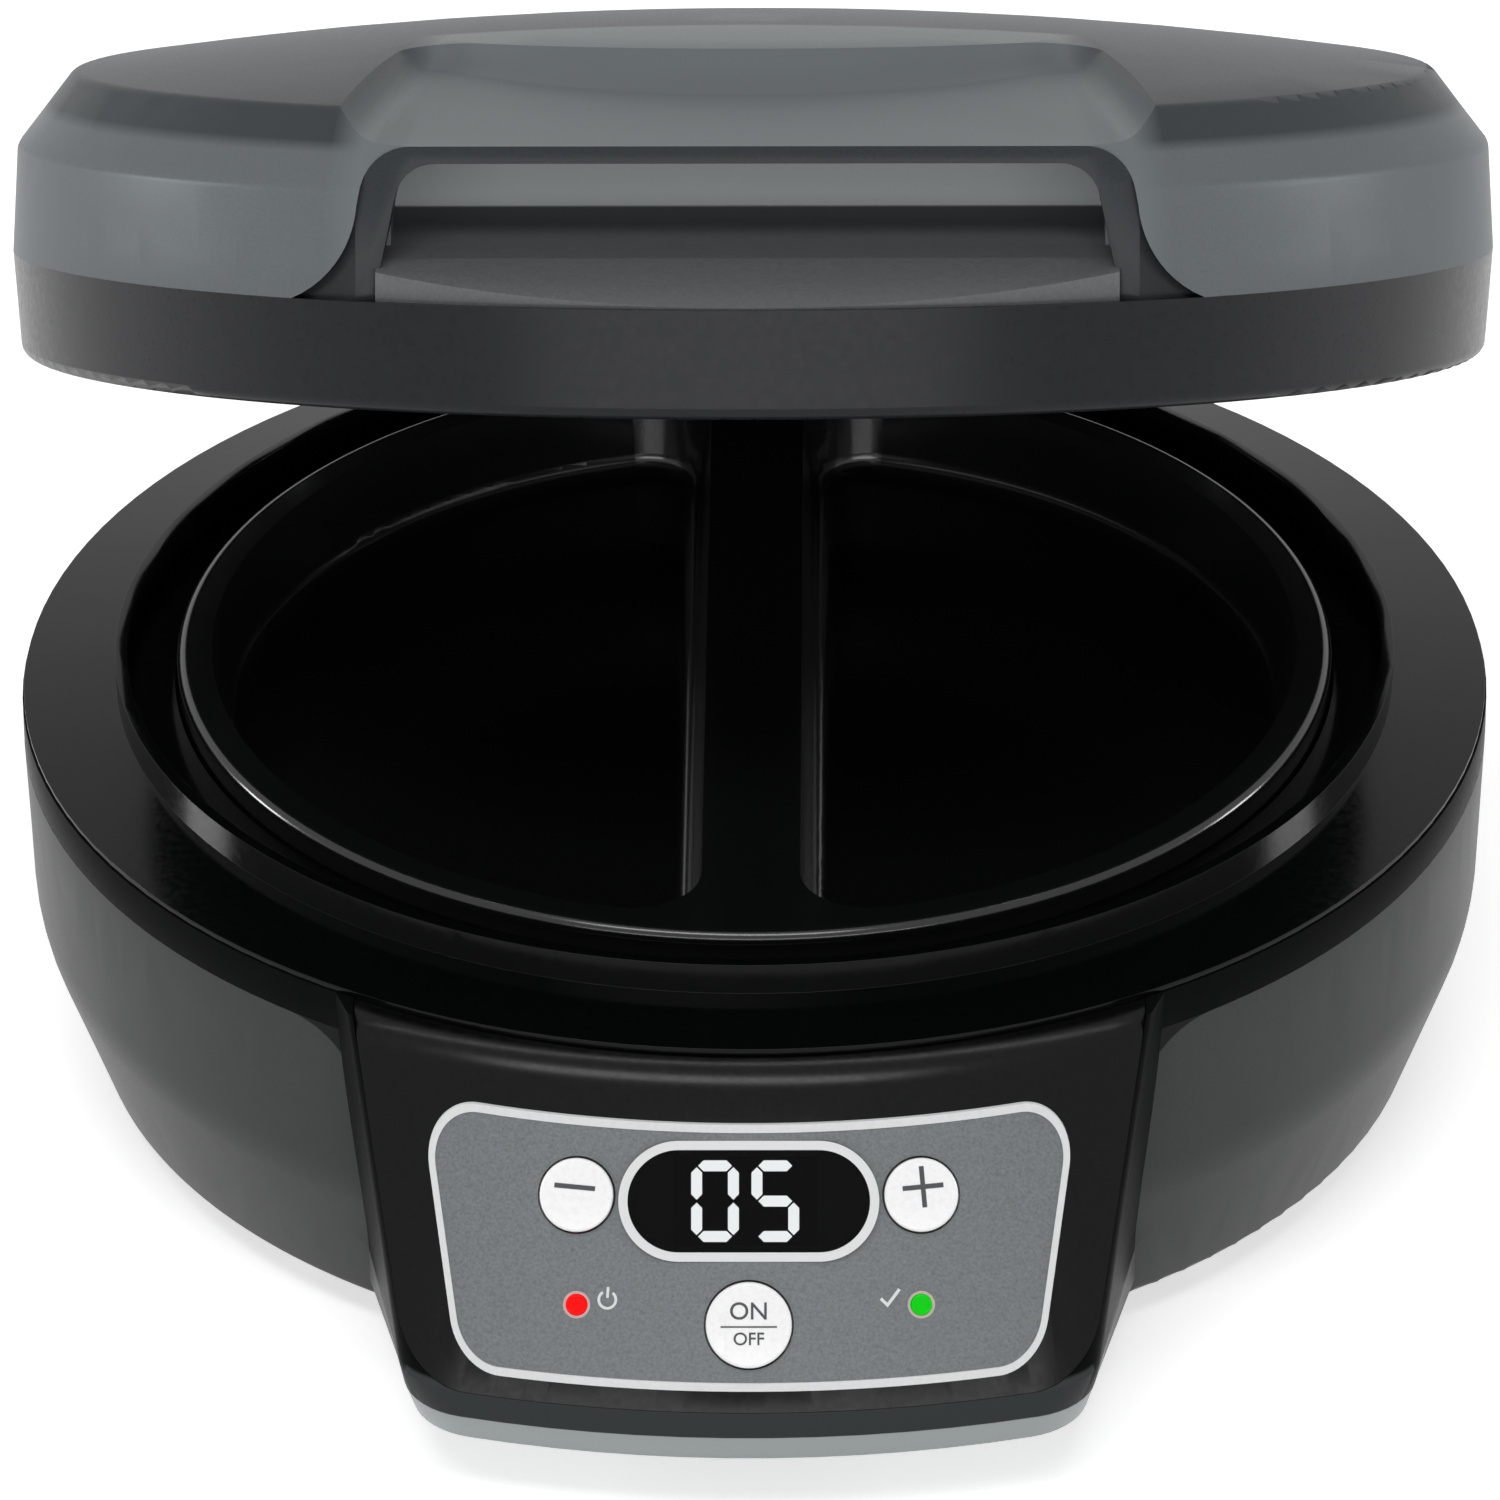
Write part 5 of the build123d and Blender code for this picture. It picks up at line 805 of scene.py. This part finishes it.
def print_word(name, word, height, up):
    """A short word in plain capitals, raised a hair above the start key's cap."""
    bpy.ops.object.select_all(action="DESELECT")
    bpy.ops.object.text_add()
    text = bpy.context.object
    text.name = name
    text.data.body = word
    text.data.align_x = "CENTER"
    text.data.align_y = "CENTER"
    text.data.size = height * FONT_OVER_CAPITAL * MM
    text.data.extrude = WORD_HALF_THICK * MM
    text.data.offset = WORD_SWELL * MM
    bpy.ops.object.convert(target="MESH")
    text.matrix_world = panel_place(up, WORD_LOW)
    bpy.ops.object.transform_apply(location=True, rotation=True, scale=True)
    text.data.materials.append(made_of["dark_key_print"])
    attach(text, "start_button")


level_bar = box(-MARK_HALF, -MARK_STROKE, MARK_HALF, MARK_STROKE)
upper_arm = box(-MARK_STROKE, MARK_STROKE, MARK_STROKE, MARK_HALF)
lower_arm = box(-MARK_STROKE, -MARK_HALF, MARK_STROKE, -MARK_STROKE)
start_line = box(-START_LINE_HALF, -START_LINE_STROKE, START_LINE_HALF, START_LINE_STROKE)
power_bar = box(-POWER_STROKE, POWER_BAR_LOW, POWER_STROKE, POWER_BAR_HIGH)

# Name, outlines, place across and up, lowest face, thickness, finish and the body that it rides on
KEY_MARKS = (
    (
        "minus_mark",
        (level_bar,),
        -KEY_X,
        KEY_UP,
        KEY_PRINT_LOW,
        KEY_PRINT_THICK,
        "dark_key_print",
        "minus_button",
    ),
    (
        "plus_mark",
        (level_bar, upper_arm, lower_arm),
        KEY_X,
        KEY_UP,
        KEY_PRINT_LOW,
        KEY_PRINT_THICK,
        "dark_key_print",
        "plus_button",
    ),
    (
        "start_line",
        (start_line,),
        0,
        START_UP - START_LINE_DROP,
        START_LINE_LOW,
        START_LINE_THICK,
        "dark_key_print",
        "start_button",
    ),
)
SIGNS = (
    ("power_sign", (arc(), power_bar), -SIGN_X, LAMP_UP, SIGN_LOW, SIGN_THICK, "silver_ink", "base"),
    ("ready_tick", (TICK,), SIGN_X, LAMP_UP, SIGN_LOW, SIGN_THICK, "silver_ink", "base"),
)
for mark_facts in KEY_MARKS:
    print_mark(*mark_facts)
print_word("on_mark", "ON", ON_HEIGHT, START_UP + ON_RISE)
print_word("off_mark", "OFF", OFF_HEIGHT, START_UP - OFF_DROP)
for mark_facts in SIGNS:
    print_mark(*mark_facts)

# Camera at the photograph's distance, height and slight roll
right = Vector((math.cos(VIEW_TURN), math.sin(VIEW_TURN), 0))
back = Vector((math.sin(VIEW_TURN), -math.cos(VIEW_TURN), math.tan(VIEW_ELEVATION))).normalized()
upward = back.cross(right)
cam_x = right * math.cos(VIEW_ROLL) + upward * math.sin(VIEW_ROLL)
cam_y = upward * math.cos(VIEW_ROLL) - right * math.sin(VIEW_ROLL)
lens = bpy.data.cameras.new("photo_camera")
lens.lens = VIEW_LENS
lens.sensor_width = SENSOR
lens.sensor_height = SENSOR
lens.sensor_fit = "HORIZONTAL"
lens.clip_start = CLIP_NEAR
lens.clip_end = CLIP_FAR
camera = bpy.data.objects.new("photo_camera", lens)
scene.collection.objects.link(camera)
spot = VIEW_TARGET + back * VIEW_DISTANCE * MM
camera.matrix_world = Matrix.Translation(spot) @ Matrix((cam_x, cam_y, back)).transposed().to_4x4()
scene.camera = camera


def background_rays(tree):
    """1 for rays that show the background itself: from the camera, off metal or through glass."""
    ray = node(tree, "ShaderNodeLightPath")
    camera_or_metal = node(
        tree,
        "ShaderNodeMath",
        {"operation": "MAXIMUM"},
        {0: ray.outputs["Is Camera Ray"], 1: ray.outputs["Is Glossy Ray"]},
    )
    any_of_them = node(
        tree,
        "ShaderNodeMath",
        {"operation": "MAXIMUM"},
        {0: camera_or_metal.outputs[0], 1: ray.outputs["Is Transmission Ray"]},
    )
    return any_of_them.outputs[0]


# White seamless floor that keeps the object's soft shadow, lifted to white where it is seen
FLOOR_HALF = 6.0
FLOOR_LIFT = 0.56
bpy.ops.object.select_all(action="DESELECT")
bpy.ops.mesh.primitive_plane_add(size=2 * FLOOR_HALF, location=(0, 0, 0))
floor = bpy.context.object
floor.name = "seamless_floor"
floor_paper = bpy.data.materials.new("white_seamless_paper")
floor_paper.use_nodes = True
paper = floor_paper.node_tree
paper.nodes.clear()
matte = node(paper, "ShaderNodeBsdfDiffuse", {"Color": linear("#f4f4f4")})
lift = node(paper, "ShaderNodeEmission", {"Color": linear("#ffffff"), "Strength": FLOOR_LIFT})
shown = node(paper, "ShaderNodeAddShader", (), {0: matte.outputs[0], 1: lift.outputs[0]})
choice = node(
    paper,
    "ShaderNodeMixShader",
    (),
    {0: background_rays(paper), 1: matte.outputs[0], 2: shown.outputs[0]},
)
node(paper, "ShaderNodeOutputMaterial", (), {"Surface": choice.outputs[0]})
floor.data.materials.append(floor_paper)

# World: white where it is seen, dim and even as light
WORLD_LIGHT = 0.24
world = bpy.data.worlds.new("white_studio")
scene.world = world
world.use_nodes = True
sky = world.node_tree
sky.nodes.clear()
plain = node(sky, "ShaderNodeBackground", {"Color": linear("#ffffff"), "Strength": WORLD_LIGHT})
white = node(sky, "ShaderNodeBackground", {"Color": linear("#ffffff"), "Strength": 1.0})
seen = node(
    sky,
    "ShaderNodeMixShader",
    (),
    {0: background_rays(sky), 1: plain.outputs[0], 2: white.outputs[0]},
)
node(sky, "ShaderNodeOutputWorld", (), {"Surface": seen.outputs[0]})

# Studio lights: name, place and aim in metres, width and height in metres, power in watts
SOFTBOXES = (
    ("overhead_strip", (0, 0.15, 1.9), (0, 0, 0.1), 1.6, 0.06, 5),
    ("front_top_softbox", (-0.2, -1.1, 2.0), (0, 0, 0.1), 1.5, 0.45, 18),
    ("front_low_softbox", (0, -2.0, 0.5), (0, 0, 0.15), 2.6, 0.3, 13),
    ("left_softbox", (-1.9, 0.45, 0.35), (0, 0, 0.12), 0.4, 0.5, 14),
    ("right_softbox", (1.9, 0.35, 0.35), (0, 0, 0.12), 0.4, 0.5, 11),
)
for light_name, light_place, aim, width, height, power in SOFTBOXES:
    light = bpy.data.lights.new(light_name, "AREA")
    light.shape = "RECTANGLE"
    light.size = width
    light.size_y = height
    light.energy = power
    lamp = bpy.data.objects.new(light_name, light)
    scene.collection.objects.link(lamp)
    away = (Vector(light_place) - Vector(aim)).normalized()
    lamp.matrix_world = Matrix.Translation(light_place) @ away.to_track_quat("Z", "Y").to_matrix().to_4x4()

scene.view_settings.view_transform = "Standard"
